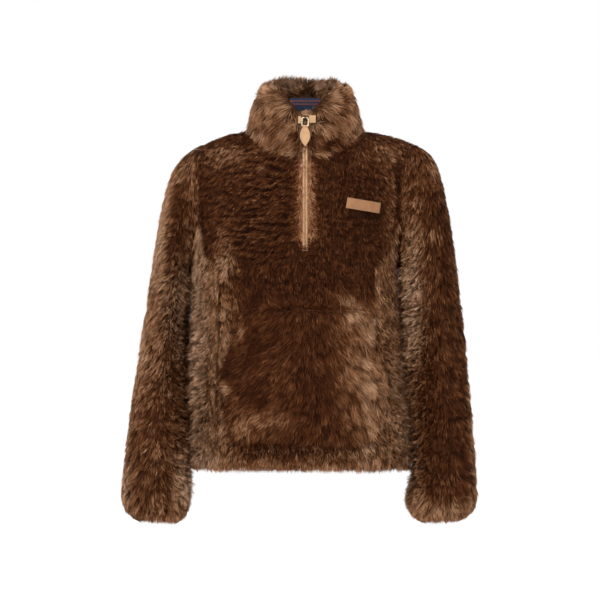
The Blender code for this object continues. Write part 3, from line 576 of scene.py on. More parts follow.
class Nodes:
    """Short calls for the nodes of one tree."""

    def __init__(self, tree):
        self.tree = tree

    def fill(self, socket, value):
        """Links a value to a socket, or sets a plain one on it."""
        if isinstance(value, Value):
            self.tree.links.new(value.socket, socket)
        else:
            socket.default_value = value

    def add(self, kind, inputs=None, **settings):
        """A node with its settings and its inputs, by their names or numbers."""
        node = self.tree.nodes.new(kind)
        for name, value in settings.items():
            setattr(node, name, value)
        for key, value in (inputs or {}).items():
            live = [s for s in node.inputs if s.enabled]
            self.fill(live[key] if isinstance(key, int) else pick(live, key), value)
        return node

    def get(self, kind, inputs=None, output=None, **settings):
        """The first live output, or the named one, of a new node."""
        live = [s for s in self.add(kind, inputs, **settings).outputs if s.enabled]
        return Value(self, live[0] if output is None else pick(live, output))

    def math(self, operation, *values):
        return self.get("ShaderNodeMath", dict(enumerate(values)), operation=operation)

    def vector(self, operation, *values):
        return self.get("ShaderNodeVectorMath", dict(enumerate(values)), operation=operation)

    def turned(self, ahead, aside, angle):
        """One direction turned towards another by an angle."""
        return ahead * self.math("COSINE", angle) + aside * self.math("SINE", angle)

    def xyz(self, vector):
        outputs = self.add("ShaderNodeSeparateXYZ", {0: vector}).outputs
        return [Value(self, socket) for socket in outputs]

    def join(self, **parts):
        return self.get("ShaderNodeCombineXYZ", {name.upper(): v for name, v in parts.items()})

    def fit(self, value, low, high, to_low=0.0, to_high=1.0):
        """A value's place between two others, taken smoothly to a new range."""
        ends = {"From Min": low, "From Max": high, "To Min": to_low, "To Max": to_high}
        kind = "ShaderNodeMapRange"
        return self.get(kind, {"Value": value, **ends}, interpolation_type="SMOOTHSTEP")

    def noise(self, where, scale, output="Fac", detail=2.0):
        inputs = {"Vector": where, "Scale": scale, "Detail": detail}
        return self.get("ShaderNodeTexNoise", inputs, output=output)

    def scatter(self, where, scale, detail=2.0):
        """A random vector that changes slowly from place to place, around zero."""
        return self.noise(where, scale, "Color", detail) - (0.5, 0.5, 0.5)

    def ramp(self, factor, stops):
        """A colour ramp through stops of a place and a colour or a grey."""
        node = self.add("ShaderNodeValToRGB", {"Fac": factor})
        points = node.color_ramp.elements
        while len(points) < len(stops):
            points.new(0.5)
        for point, (place, colour) in zip(points, stops):
            point.position = place
            shade = (colour,) * 3 if isinstance(colour, (int, float)) else tuple(colour)
            point.color = (*shade[:3], 1.0)
        return Value(self, node.outputs["Color"])

    def blend(self, factor, a, b, mode="MIX"):
        """A mix of two colours, each an output or plain."""
        a, b = (c if isinstance(c, Value) else (*c[:3], 1.0) for c in (a, b))
        inputs = {"Factor": factor, "A": a, "B": b}
        return self.get("ShaderNodeMix", inputs, data_type="RGBA", blend_type=mode)

    def random(self, low, high, seed):
        inputs = {"Min": low, "Max": high, "Seed": seed}
        return self.get("FunctionNodeRandomValue", inputs, data_type="FLOAT")

    def read(self, name, kind="FLOAT"):
        return self.get("GeometryNodeInputNamedAttribute", {"Name": name}, data_type=kind)

    def read_vector(self, name):
        return self.read(name, "FLOAT_VECTOR")

    def store(self, geometry, name, value, kind="FLOAT", domain="POINT"):
        inputs = {"Geometry": geometry, "Name": name, "Value": value}
        return self.get("GeometryNodeStoreNamedAttribute", inputs, data_type=kind, domain=domain)


def pick(sockets, name):
    return next(s for s in sockets if s.name == name)


class Finish(Nodes):
    """The nodes of one material around its Principled shader."""

    def __init__(self, name):
        self.material = bpy.data.materials.new(name)
        self.material.use_nodes = True
        super().__init__(self.material.node_tree)
        self.shader = self.tree.nodes["Principled BSDF"]

    def here(self):
        return self.get("ShaderNodeTexCoord", output="Object")

    def done(self, colour, sockets, height=None, bump=0.3, distance=0.001):
        """The material, with its colour, its bump and what else is set or linked."""
        for name, value in {"Base Color": colour, **sockets}.items():
            self.fill(self.shader.inputs[name], value)
        if height is not None:
            inputs = {"Strength": bump, "Distance": distance, "Height": height}
            self.fill(self.shader.inputs["Normal"], self.get("ShaderNodeBump", inputs))
        return self.material


def wool_material(wool):
    """Wool whose map holds a strand's lightness across and its length upwards, where a ramp paints
    shade deep in the pile, darkest at the roots.
    """
    nodes = Finish("wool_strands")
    tone, along, _ = nodes.xyz(nodes.get("ShaderNodeUVMap", uv_map="OFBake"))
    shades = (wool.dark, wool.brown, wool.taupe, wool.pale)
    tips, shanks = (
        nodes.ramp(tone, tuple(zip((0.0, brown_at, taupe_at, 1.0), shades)))
        for brown_at, taupe_at in ((0.3, 0.68), (0.45, 0.75))
    )
    colour = nodes.blend(nodes.fit(along, 0.25, 0.72), shanks, tips)
    painted_glow = nodes.blend(nodes.fit(tone, 0.2, 0.9), wool.brown, wool.painted_glow)
    # painted glow: strands beside the zip take the glow's colour at the top of the map
    colour = nodes.blend(nodes.fit(along, TIP_V, 1.0), colour, painted_glow)
    # painted shade: the strands darken towards their roots and where they sit deep in the pile
    depth = nodes.ramp(along, ((0.0, 0.06), (0.25, 0.3), (0.6, 0.88), (TIP_V, 1.0)))
    colour = nodes.blend(1.0, colour, depth, "MULTIPLY")
    return nodes.done(colour, {"Roughness": 0.6, "Specular IOR Level": 0.06})


def bed_material(wool):
    """The felted foot of the wool, dark between the strands and pale beside the zip."""
    nodes = Finish("wool_bed")
    where = nodes.here()
    matted = nodes.noise(where, 420, detail=4.0)
    drift = nodes.noise(where, 24)
    dark, brown = Vector(wool.dark), Vector(wool.brown)
    colour = nodes.blend(nodes.fit(drift, 0.3, 0.7), dark * 0.20, brown * 0.28)
    colour = nodes.blend(nodes.fit(matted, 0.3, 0.8), colour, brown * 0.3)
    x, y, z = nodes.xyz(where / (MM, MM, MM))
    pale = nodes.fit(nodes.math("ABSOLUTE", x), *PALE_X, 1.0, 0.0)
    pale = pale * nodes.fit(y, *PALE_Y, 1.0, 0.0) * nodes.fit(z, *PALE_Z)
    colour = nodes.blend(pale, colour, (0.40, 0.19, 0.10))
    return nodes.done(colour, {"Roughness": 0.9, "Specular IOR Level": 0.15}, matted, 0.8, 0.002)


def suede_material(trim):
    """The skins' inner side: a brushed nap with soft cloudy wear."""
    nodes = Finish("suede")
    where = nodes.here()
    nap = nodes.noise(where, 900, detail=3.0)
    clouds = nodes.noise(where, 14, detail=3.0)
    base = Vector(trim.suede)
    colour = nodes.blend(nodes.fit(clouds, 0.32, 0.7), base * 0.75, base * 1.5)
    colour = nodes.blend(nodes.fit(nap, 0.45, 0.8), colour, base * 2.1)
    sockets = {
        "Roughness": 0.88,
        "Specular IOR Level": 0.2,
        "Sheen Weight": 0.3,
        "Sheen Roughness": 0.5,
    }
    return nodes.done(colour, sockets, nap, 0.5, 0.0006)


def leather_material(name, colour, edge=0.55, dark_edges=False):
    """Vegetable-tanned leather: fine pores, soft clouds and darker worn creases.

    The zip's facings darken away from the middle of the zip, towards their outer edges.
    """
    nodes = Finish(name)
    where = nodes.here()
    inputs = {"Vector": where, "Scale": 1400.0}
    cells = nodes.get("ShaderNodeTexVoronoi", inputs, feature="DISTANCE_TO_EDGE")
    grain = nodes.fit(cells, 0.0, 0.12)
    pores = nodes.noise(where, 2600)
    clouds = nodes.noise(where, 90, detail=3.0)
    base = Vector(colour)
    tone = nodes.blend(nodes.fit(clouds, 0.3, 0.7), base * 0.84, base * 1.1)
    tone = nodes.blend(grain, base * edge, tone)
    if dark_edges:
        aside = nodes.math("ABSOLUTE", nodes.xyz(where)[0])
        edge_darkening = nodes.fit(aside, FACING_DARK_FROM * MM, FACING_DARK_TO * MM)
        tone = nodes.blend(edge_darkening, tone, base * Vector(FACING_EDGE_DARKNESS))
    rough = nodes.fit(pores, 0.3, 0.7, 0.42, 0.6)
    return nodes.done(tone, {"Roughness": rough}, grain + pores * 0.5, 0.35, 0.0003)


def metal_material(name, colour):
    """Metal with faint stains and fine scratches."""
    nodes = Finish(name)
    where = nodes.here()
    stains = nodes.noise(where, 520, detail=3.0)
    base = Vector(colour)
    colour = nodes.blend(nodes.fit(stains, 0.35, 0.65), base * 0.7, base * 1.2)
    rough = nodes.fit(stains, 0.3, 0.7, 0.5, 0.24)
    sockets = {"Roughness": rough, "Metallic": 1.0}
    return nodes.done(colour, sockets, nodes.noise(where, 3200), 0.2, 0.0002)


def cloth_material(name, colour, scale=1500):
    """A close plain weave, for the zip's tape and for thread."""
    nodes = Finish(name)
    inputs = {"Vector": nodes.here(), "Scale": scale / 6.28}
    warp, weft = (
        nodes.get("ShaderNodeTexWave", inputs, output="Fac", bands_direction=way) for way in "XZ"
    )
    weave = warp * weft
    base = Vector(colour)
    return nodes.done(
        nodes.blend(weave, base * 0.6, base * 1.3), {"Roughness": 0.85}, weave, 0.5, 0.0003
    )


def label_material(trim):
    """Navy satin weave with two plain bands of rust-coloured dashes."""
    nodes = Finish("label_weave")
    x, _, z = nodes.xyz(nodes.here())
    weave = nodes.math("SINE", x * 2200.0) * nodes.math("SINE", z * 5200.0)
    base = Vector(trim.label)
    colour = nodes.blend(nodes.fit(weave, -0.6, 0.9), base * 0.7, base * 1.6)
    dash = nodes.fit(nodes.math("SINE", x * 1450.0), -0.35, -0.1)
    for height in LABEL_BANDS:
        off = nodes.math("ABSOLUTE", z - height * MM)
        band = nodes.fit(off, BAND_HALF * MM, (BAND_HALF + BAND_FADE) * MM, 1.0, 0.0)
        colour = nodes.blend(band * dash, colour, (0.42, 0.10, 0.03))
    return nodes.done(colour, {"Roughness": 0.7, "Sheen Weight": 0.2}, weave, 0.5, 0.0002)


def stage_material():
    """Plain pale paper for the floor."""
    nodes = Finish("pale_floor")
    drift = nodes.noise(nodes.here(), 3)
    seen = nodes.get("ShaderNodeLightPath", output="Is Camera Ray")
    sockets = {
        "Roughness": 0.9,
        "Specular IOR Level": 0.0,
        "Emission Color": (1, 1, 1, 1),
        "Emission Strength": seen * FLOOR_GLOW,
    }
    return nodes.done(nodes.blend(drift, (0.84, 0.84, 0.84), (0.88, 0.88, 0.88)), sockets)


def material(name):
    """A finish by its name, made when it is first asked for."""
    scene = bpy.context.scene
    wool, trim = scene.anorak_wool, scene.anorak_trim
    makers = {
        "wool_strands": lambda: wool_material(wool),
        "wool_bed": lambda: bed_material(wool),
        "suede": lambda: suede_material(trim),
        "tan_leather": lambda: leather_material("tan_leather", trim.leather, 0.88),
        "zip_leather": lambda: leather_material("zip_leather", trim.leather, 0.85, dark_edges=True),
        "patch_leather": lambda: leather_material("patch_leather", trim.patch, 0.75),
        "aged_metal": lambda: metal_material("aged_metal", trim.metal),
        "link_metal": lambda: metal_material("link_metal", trim.link),
        "gold_thread": lambda: cloth_material("gold_thread", (0.62, 0.40, 0.10), 4000),
        "zip_tape": lambda: cloth_material("zip_tape", (0.11, 0.062, 0.036)),
        "thread": lambda: cloth_material("thread", (0.50, 0.30, 0.16), 4000),
        "label_weave": lambda: label_material(trim),
        "pale_floor": stage_material,
    }
    return bpy.data.materials.get(name) or makers[name]()


def add_object(name, data):
    made = bpy.data.objects.new(name, data)
    bpy.context.scene.collection.objects.link(made)
    return made


def mesh_of(shape, name):
    """A new mesh of a bmesh, which is then freed."""
    mesh = bpy.data.meshes.new(name)
    shape.to_mesh(mesh)
    shape.free()
    return mesh


def merged_copy(node):
    """A copy of a CAD node's mesh with its loose triangles merged."""
    shape = bmesh.new()
    shape.from_mesh(frame["nodes"][node].data)
    bmesh.ops.remove_doubles(shape, verts=shape.verts, dist=MERGE)
    shape.faces.ensure_lookup_table()
    shape.faces.index_update()
    return shape


def wall_sides(shape):
    """A wall's outer and inner faces: its two largest stretches without a sharp edge.

    Where the rim between them meets the outer side bluntly, the rim is left out again.
    """
    seen, found = set(), []
    for start in shape.faces:
        if start.index in seen:
            continue
        seen.add(start.index)
        stretch, at = [start], 0
        while at < len(stretch):
            for edge in stretch[at].edges:
                if len(edge.link_faces) == 2 and edge.calc_face_angle() < RIM_ANGLE:
                    for other in edge.link_faces:
                        if other.index not in seen:
                            seen.add(other.index)
                            stretch.append(other)
            at += 1
        found.append(stretch)
    found.sort(key=lambda faces: -sum(face.calc_area() for face in faces))
    outer, inner = found[:2]
    lining = {vert.index for face in inner for vert in face.verts}
    return [face for face in outer if not any(v.index in lining for v in face.verts)], inner


def subdivided(shape, levels):
    """The shape's faces smoothed by Subdivision Surface, as a new mesh."""
    mesh = mesh_of(shape, "surface")
    holder = add_object("surface", mesh)
    modifier = holder.modifiers.new("smooth", "SUBSURF")
    modifier.levels = modifier.render_levels = levels
    modifier.boundary_smooth = "PRESERVE_CORNERS"
    depsgraph = bpy.context.evaluated_depsgraph_get()
    made = bpy.data.meshes.new_from_object(holder.evaluated_get(depsgraph))
    bpy.data.objects.remove(holder)
    bpy.data.meshes.remove(mesh)
    return made


def smoothstep(value):
    held = np.clip(value, 0, 1)
    return held * held * (3 - 2 * held)


def bell(off, reach):
    return np.exp(-((off / reach) ** 2))


def unit(vectors, least):
    return vectors / np.maximum(np.linalg.norm(vectors, axis=1), least)[:, None]


def nearest(points, targets):
    """The distance from each point to the nearest of the targets."""
    tree = KDTree(len(targets))
    for n, target in enumerate(targets):
        tree.insert(target, n)
    tree.balance()
    return np.array([tree.find(p)[2] for p in points])


def beside_line(points, x1, z1, x2, z2):
    """Each point's place along a line in a front view, 0 to 1, and its distance from it."""
    off, along = points[:, [0, 2]] - (x1, z1), np.array((x2 - x1, z2 - z1), float)
    share = np.clip(off @ along / (along @ along), 0, 1)
    return share, np.linalg.norm(off - share[:, None] * along, axis=1)


def crease_depth(points, normals):
    """How deep the soft creases press each point in, all in millimetres."""
    depth = np.zeros(len(points))
    for face, x1, z1, x2, z2, deep, half in CREASES:
        share, off = beside_line(points, x1, z1, x2, z2)
        side = normals[:, 1] * FACES[face][1] > 0
        ends = 0.35 + 0.65 * np.sin(math.pi * np.clip(share * 0.9 + 0.05, 0, 1))
        depth += side * deep * ends * bell(off, half)
    return depth


class Surface:
    """One panel's surface at the tips of its wool, in millimetres."""

    def __init__(self, name, points, normals, walls, faces, shared):
        self.name, self.points, self.normals, self.walls = name, points, normals, walls
        self.faces = faces
        self.shared = shared  # points that a neighbouring panel has too
        self.slot = "wool_collar" if name == "collar" else "wool"

    def open_edges(self):
        """The panel's open edges, each in the order of its face."""
        edges = {edge for face in self.faces for edge in zip(face, face[1:] + face[:1])}
        return sorted((a, b) for a, b in edges if (b, a) not in edges)

    def edge_points(self):
        """Numbers of the points on the panel's open edges."""
        return sorted({v for edge in self.open_edges() for v in edge})

    def low_z(self):
        """Where the panel's hem or cuff is."""
        return CUFF_Z if self.name.startswith("sleeve") else HEM_Z


def surfaces(nodes, levels):
    """Each node's outer surface, smooth across the seams between the nodes."""
    whole = bmesh.new()
    inner_points, inner_faces = [], []
    for number, node in enumerate(nodes):
        shape = merged_copy(node)
        outer, inner = wall_sides(shape)
        copies = {}
        for face in outer:
            for vert in face.verts:
                if vert.index not in copies:
                    copies[vert.index] = whole.verts.new(vert.co)
        for face in outer:
            whole.faces.new([copies[v.index] for v in face.verts]).material_index = number
        for face in inner:
            start = len(inner_points)
            inner_points.extend(v.co.copy() for v in face.verts)
            inner_faces.append(tuple(range(start, len(inner_points))))
        shape.free()
    bmesh.ops.remove_doubles(whole, verts=whole.verts, dist=WELD)
    bmesh.ops.join_triangles(
        whole,
        faces=whole.faces,
        cmp_materials=True,
        angle_face_threshold=FLAT_ANGLE,
        angle_shape_threshold=SKEW_ANGLE,
    )
    mesh = subdivided(whole, levels)
    points = np.array([v.co for v in mesh.vertices]) / MM
    normals = np.array([v.normal for v in mesh.vertices])
    lining = BVHTree.FromPolygons(inner_points, inner_faces)
    walls = np.array([lining.find_nearest(v.co)[3] for v in mesh.vertices]) / MM
    points = points - normals * crease_depth(points, normals)[:, None]
    owners = [set() for _ in mesh.vertices]
    for polygon in mesh.polygons:
        for v in polygon.vertices:
            owners[v].add(polygon.material_index)
    made = {}
    for number, node in enumerate(nodes):
        faces = [tuple(p.vertices) for p in mesh.polygons if p.material_index == number]
        used = sorted({v for face in faces for v in face})
        place = {v: n for n, v in enumerate(used)}
        faces = [tuple(place[v] for v in face) for face in faces]
        shared = np.array([len(owners[v]) > 1 for v in used])
        made[node] = Surface(node, points[used], normals[used], walls[used], faces, shared)
    bpy.data.meshes.remove(mesh)
    return made


def in_pocket(points):
    """How far inside the pocket's outline each point is, in millimetres."""
    levels, lefts, rights = zip(*POCKET_EDGES)
    x, z = points[:, 0], points[:, 2]
    sides = np.minimum(x - np.interp(z, levels, lefts), np.interp(z, levels, rights) - x)
    return np.minimum(sides, np.minimum(z - levels[0], levels[-1] - z))


def sewn_down(points):
    """1 at the pocket's sewn edges, falling to 0 further in."""
    bottom, waist, top = (row[0] for row in POCKET_EDGES)
    z = points[:, 2]
    low = np.where(z < waist, in_pocket(points), z - bottom)
    return 1 - smoothstep(np.minimum(top - z, low) / POCKET_SEWN)


def skin_depths(surface):
    """How deep the skin's outer and inner side lie under the tips of the wool."""
    walls = surface.walls
    if surface.name == "pocket":
        down = POCKET_SINK * sewn_down(surface.points)
        return walls - POCKET_SKIN + down, walls + down
    if surface.name != "collar":
        return walls - BED, walls
    neck = nearest(surface.points, surface.points[surface.shared])
    both = smoothstep(neck / NECK_BLEND)
    outer = (walls - BED) * (1 - both) + (walls - COLLAR_SKIN) / 2 * both
    inner = walls * (1 - both) + (outer + COLLAR_SKIN) * both
    return outer, inner


def edge_shift(surface, points):
    """Draws the skin's free edges back, so that the wool hangs over them."""
    moved = points.copy()
    if surface.name == "collar":
        own = surface.points
        edge = [v for v in surface.edge_points() if not surface.shared[v]]
        rim = [v for v in edge if own[v][2] > SLOT_TOP or abs(own[v][0]) > SLOT_HALF * 1.5]
        moved[:, 2] -= RIM_DROP * (1 - smoothstep(nearest(own, own[rim]) / RIM_REACH))
    elif surface.name != "pocket":
        up = (points[:, 2] - surface.low_z()) / LIFT_REACH
        moved[:, 2] += EDGE_LIFT * (1 - smoothstep(up))
    return moved


def seam_inset(surface, points):
    """Moves the points on a panel's seams a little into the panel."""
    middles = np.zeros_like(points)
    counts = np.zeros(len(points))
    for face in surface.faces:
        middle = points[list(face)].mean(0)
        for v in face:
            middles[v] += middle
            counts[v] += 1
    inward = unit(middles / counts[:, None] - points, 1e-9)
    edge = np.zeros(len(points), bool)
    edge[surface.edge_points()] = True
    return points + inward * SEAM_INSET * edge[:, None]


def skin_mesh(surface):
    """A panel's skin as a closed shell, felted wool outside and suede inside."""
    sides = []
    for depth in skin_depths(surface):
        side = edge_shift(surface, surface.points - surface.normals * depth[:, None])
        sides.append(seam_inset(surface, side))
    count, outside = len(surface.points), len(surface.faces)
    faces = list(surface.faces)
    faces += [tuple(v + count for v in reversed(face)) for face in surface.faces]
    rim = [(b, a, a + count, b + count) for a, b in surface.open_edges()]
    mesh = bpy.data.meshes.new(f"skin_{surface.name}")
    mesh.from_pydata(np.concatenate(sides) * MM, [], faces + rim)
    for finish in ("wool_bed", "suede"):
        mesh.materials.append(material(finish))
    finishes = [0] * outside + [1] * outside + [0] * len(rim)
    mesh.polygons.foreach_set("material_index", finishes)
    mesh.shade_smooth()
    mesh.set_sharp_from_angle(angle=SKIN_SHARP)
    mesh.update()
    return mesh


def place(name, mesh, slot, body=COAT, stands_for=()):
    """A finished piece with its mesh in place, riding on its body."""
    piece = add_object(name, mesh)
    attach(piece, body)
    if stands_for:
        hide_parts(*stands_for)
    return piece


def over(table, surface, points, normals):
    """For each spot on the surface, how strongly it acts at each point, and its values."""
    for panel, face, spots in table:
        if panel != surface.name:
            continue
        for x, z, half_width, half_height, *values in spots:
            off = ((points[:, 0] - x) / half_width) ** 2, ((points[:, 2] - z) / half_height) ** 2
            weight = np.exp(-off[0] - off[1])
            if face in FACES:
                axis, sign = FACES[face]
                weight *= smoothstep(0.5 + 3 * sign * normals[:, axis])
            yield weight, values


def collar_lie(points, inside):
    """The collar's wool runs out from the zip, down over the chest and up at the rim."""
    x, y, z = points.T
    lie = np.zeros_like(points)
    if inside:
        lie[:, 0] = np.sign(x - INSIDE_PARTING) * 0.7
        lie[:, 2] = 0.8
        return lie
    behind = smoothstep(0.5 + y / 60)
    ahead = np.clip(x / 34, -1.2, 1.2)
    ahead *= 1 - 0.5 * smoothstep((20 - z) / 30) * smoothstep((np.abs(x) - 50) / 30)
    lie[:, 0] = ahead * (1 - behind) + (0.35 + 0.3 * np.sin(x / 26)) * behind
    lie[:, 2] = -1.0 + 1.9 * smoothstep((z - 34 - 28 * behind) / (44 - 20 * behind))
    over_zip = np.exp(-(((np.abs(x) - 14) / 14) ** 2) - ((z - 30) / 12) ** 2) * (y < 0)
    lie[:, 0] -= over_zip * np.sign(x) * 2.6
    lie[:, 2] += over_zip * 1.6
    return lie


def zip_parting(surface, points, normals):
    """1 beside the zip's slot, falling to 0 away from it, and 1 where wool leans over it."""
    away = np.abs(points[:, 0])
    lip = smoothstep((SLOT_HALF + ZIP_LIP - away) / 1.5)
    if surface.name not in ("front", "collar"):
        return np.zeros(len(points)), lip
    ends = smoothstep((points[:, 2] - ZIP_BOTTOM_Z + 14) / 12) * (normals[:, 1] < 0.2)
    ends *= smoothstep((ZIP_TOP_Z - points[:, 2]) / 8)
    return bell(np.maximum(away - SLOT_HALF, 0), ZIP_REACH) * ends, lip


def combed(surface, points, normals, inside=False):
    """The unit direction in which the wool lies at each point, along the surface."""
    x, z = points[:, 0], points[:, 2]
    lie = np.zeros_like(points)
    lie[:, 2] = -1.0
    if surface.name == "collar":
        lie = collar_lie(points, inside)
    for weight, (right, up) in over(COMBS, surface, points, normals):
        lie[:, 0] += weight * right
        lie[:, 2] += weight * up
    near_zip, lip = zip_parting(surface, points, normals)
    lie[:, 0] += near_zip * np.sign(x) * (ZIP_LEAN - ZIP_LIP_LEAN * lip)
    if surface.name == "front":
        at_end = bell(np.abs(x) - SLOT_HALF, 10) * (normals[:, 1] < 0)
        at_end *= smoothstep((ZIP_BOTTOM_Z - z) / 12) * (z > ZIP_END_Z)
        lie[:, 0] -= at_end * np.sign(x) * ZIP_END_LEAN
    lie -= normals * (lie * normals).sum(1)[:, None]
    return unit(lie, 1e-6)


def parting(surface, points):
    """How strongly the wool parts over the seams and folds at each point, where its strands take
    painted shade.
    """
    strongest = np.zeros(len(points))
    for panel, x1, z1, x2, z2, half, strength in PARTS:
        if panel == surface.name:
            gap = beside_line(points, x1, z1, x2, z2)[1]
            strongest = np.maximum(strongest, strength * bell(gap, half))
    return strongest * (points[:, 1] < 0)


def under_patch(points):
    """1 under the chest patch and 0 a margin away from it."""
    off = points[:, [0, 2]] - np.array(PATCH_AT)
    c, s = math.cos(PATCH_TURN), math.sin(PATCH_TURN)
    along, across = off @ np.array((c, s)), off @ np.array((-s, c))
    gap = np.maximum(np.abs(along) - PATCH_HALF[0], np.abs(across) - PATCH_HALF[1])
    return 1 - smoothstep(gap / PATCH_MARGIN)


def calm_edge(surface, points):
    """1 at the hem, the cuffs and the collar's rim, where the wool is clipped even."""
    z = points[:, 2]
    if surface.name == "collar":
        return smoothstep((z - 78) / 18)
    return 1 - smoothstep((z - surface.low_z()) / 22)


def inside_fields(fields, points):
    """Changes the fields for the wool inside the collar."""
    x, y, z = points.T
    # painted light: the inside wool lighter up towards the rim
    fields["tone"] += INSIDE_RIM_LIGHT * smoothstep((z - 62) / 26)
    centre = bell(x - INSIDE_PARTING, 6) * (y > 0)
    fields["rise"] *= 1 - 0.35 * centre
    # painted shade along the inside's middle parting
    fields["tone"] -= 0.35 * centre
    at_label = smoothstep((LABEL_HALF + 6 - np.abs(x)) / 8) * (y > 0)
    at_label *= smoothstep((z - LABEL_Z[0]) / 6)
    at_label *= smoothstep((LABEL_Z[1] - z) / 4)
    fields["rise"] *= 1 - 0.45 * at_label
    fields["long"] *= 1 - 0.4 * at_label
    return fields


def zip_fields(fields, surface, points, normals):
    """Changes the fields beside the zip, under its tab and under the patch."""
    x, z = points[:, 0], points[:, 2]
    near_zip, lip = zip_parting(surface, points, normals)
    # painted glow beside the zip, below the collar
    glow = near_zip * smoothstep((GLOW_TOP_Z - z) / 16)
    fields["long"] *= 1 + (ZIP_LENGTH - 1) * near_zip
    # painted shade beside the zip above the glow, around the tab and under the collar
    fields["tone"] += ZIP_LIGHTER * glow - ZIP_TOP_SHADE * (near_zip - glow)
    fields["glow"] += ZIP_GLOW * glow
    fields["cover"] *= 1 + ZIP_THICKER * glow
    fields["stray"] += near_zip * (ZIP_STRAY - ZIP_LIP_STRAY * lip)
    fields["rise"] *= 1 + (ZIP_RISE - 1) * near_zip
    if surface.name in ("front", "collar"):
        at_tab = smoothstep((TAB_HALF + 6 - np.abs(x)) / 8) * (normals[:, 1] < 0)
        at_tab *= smoothstep((z - TAB_Z[0] + 6) / 8) * (z < TAB_Z[1])
        fields["rise"] *= 1 - TAB_FLATTENS * at_tab
    if surface.name == "front":
        patch = under_patch(points)
        fields["rise"] *= 1 - PATCH_FLATTENS * patch
        fields["long"] *= 1 - PATCH_SHORTENS * patch
        fields["cover"] *= 1 - smoothstep((in_pocket(points) - POCKET_MARGIN) / 8)


def wool_fields(surface, points, normals, rise, inside=False):
    """What the strands at each point need to know, by the name of its attribute."""
    length, proud, tone, ripple, stray = WOOLS[surface.name]
    if surface.name == "pocket":
        normals = normals * (1, 1, 0.15)
        normals /= np.linalg.norm(normals, axis=1)[:, None]
    each = np.ones(len(points))
    fields = {
        "outward": normals,
        "comb": combed(surface, points, normals, inside),
        "rise": (rise + proud) * MM,
        "long": each * (INSIDE_LENGTH if inside else length) * MM,
        "tone": each * (INSIDE_TONE if inside else tone),
        "ripple": each * ripple,
        "stray": each * math.radians(stray),
        "cover": each.copy(),
        "glow": each * 0,
        "lock": each * (COLLAR_LOCKED if surface.name == "collar" else LOCKED),
        "calm": calm_edge(surface, points),
    }
    if inside:
        return inside_fields(fields, points)
    for name, table in (("tone", SHADES), ("ripple", RIPPLES), ("lock", LOCKS)):
        for weight, (more,) in over(table, surface, points, normals):
            fields[name] += weight * more
    for name, table in (("long", LENGTHS), ("cover", THICKNESS)):
        for weight, (share,) in over(table, surface, points, normals):
            fields[name] *= 1 + (share - 1) * weight
    for weight, (height,) in over(PROUD, surface, points, normals):
        fields["rise"] += weight * height * MM
        if height > CALM_OVER:
            fields["calm"] = np.maximum(fields["calm"], weight)
    part = parting(surface, points)
    fields["cover"] *= 1 - PART_THINS * part
    fields["rise"] *= 1 - PART_FLATTENS * part
    fields["long"] *= 1 - PART_SHORTENS * part
    # painted shade along the partings
    fields["tone"] -= PART_SHADE * part
    zip_fields(fields, surface, points, normals)
    for name in ("lock", "ripple"):
        fields[name] = np.clip(fields[name], 0, 1)
    return fields


def store_array(mesh, name, values):
    """Stores a number or a vector for each point of a mesh."""
    vector = values.ndim == 2
    stored = mesh.attributes.new(name, "FLOAT_VECTOR" if vector else "FLOAT", "POINT")
    stored.data.foreach_set("vector" if vector else "value", values.astype(np.float32).ravel())


def bed_object(surface, inside=False):
    """The surface that a panel's wool grows from, with its fields, and its wool's area."""
    outer_depth, inner_depth = skin_depths(surface)
    depth, normals, rise, faces = outer_depth, surface.normals, outer_depth, surface.faces
    if inside:
        depth, normals, rise = inner_depth, -surface.normals, surface.walls - inner_depth
        faces = [tuple(reversed(face)) for face in surface.faces]
    points = edge_shift(surface, surface.points - surface.normals * depth[:, None])
    fields = wool_fields(surface, surface.points, normals, rise, inside)
    if inside:
        fields["cover"] *= smoothstep((rise - 2.0) / 2.0)
    mesh = bpy.data.meshes.new("bed")
    mesh.from_pydata(points * MM, [], faces)
    for name, values in fields.items():
        store_array(mesh, name, values)
    mesh.update()
    cover = fields["cover"]
    area = sum(p.area * cover[list(p.vertices)].mean() for p in mesh.polygons)
    return add_object("bed", mesh), area


def geometry_tree(name, **inputs):
    """An empty Geometry Nodes tree with named inputs, and what they give."""
    tree = bpy.data.node_groups.new(name, "GeometryNodeTree")
    tree.interface.new_socket("Geometry", in_out="OUTPUT", socket_type="NodeSocketGeometry")
    for label, kind in {"geometry": "Geometry", **inputs}.items():
        label = label.replace("_", " ").title()
        tree.interface.new_socket(label, in_out="INPUT", socket_type=f"NodeSocket{kind}")
    nodes = Nodes(tree)
    outputs = nodes.add("NodeGroupInput").outputs
    return tree, nodes, {socket.name: Value(nodes, socket) for socket in outputs}


def end_tree(tree, nodes, instances, finish):
    """Closes a tree with Set Material and the group's output."""
    inputs = {"Geometry": instances, "Material": finish}
    nodes.add("NodeGroupOutput", {"Geometry": nodes.get("GeometryNodeSetMaterial", inputs)})
    return tree


def strand_blade(nodes, rows):
    """One strand laid flat: pointed at both ends, with its two coordinates stored."""
    grid = {"Size X": 1.0, "Size Y": 1.0, "Vertices X": 2, "Vertices Y": rows + 1.0}
    flat = nodes.get("GeometryNodeMeshGrid", grid)
    across, y, _ = nodes.xyz(nodes.get("GeometryNodeInputPosition"))
    along = y + 0.5
    flat = nodes.store(flat, "along", along)
    flat = nodes.store(flat, "across", across)
    inner = nodes.math("GREATER_THAN", nodes.math("SINE", along * math.pi), 0.01)
    inputs = {"Geometry": flat, "Position": nodes.join(x=across * inner, y=along)}
    flat = nodes.get("GeometryNodeSetPosition", inputs)
    return nodes.get("GeometryNodeMergeByDistance", {"Geometry": flat, "Distance": 0.0001})


def less(value, *cuts):
    """A value cut down by each factor's share of it."""
    for factor, share in cuts:
        value = value * (1.0 - factor * share)
    return value


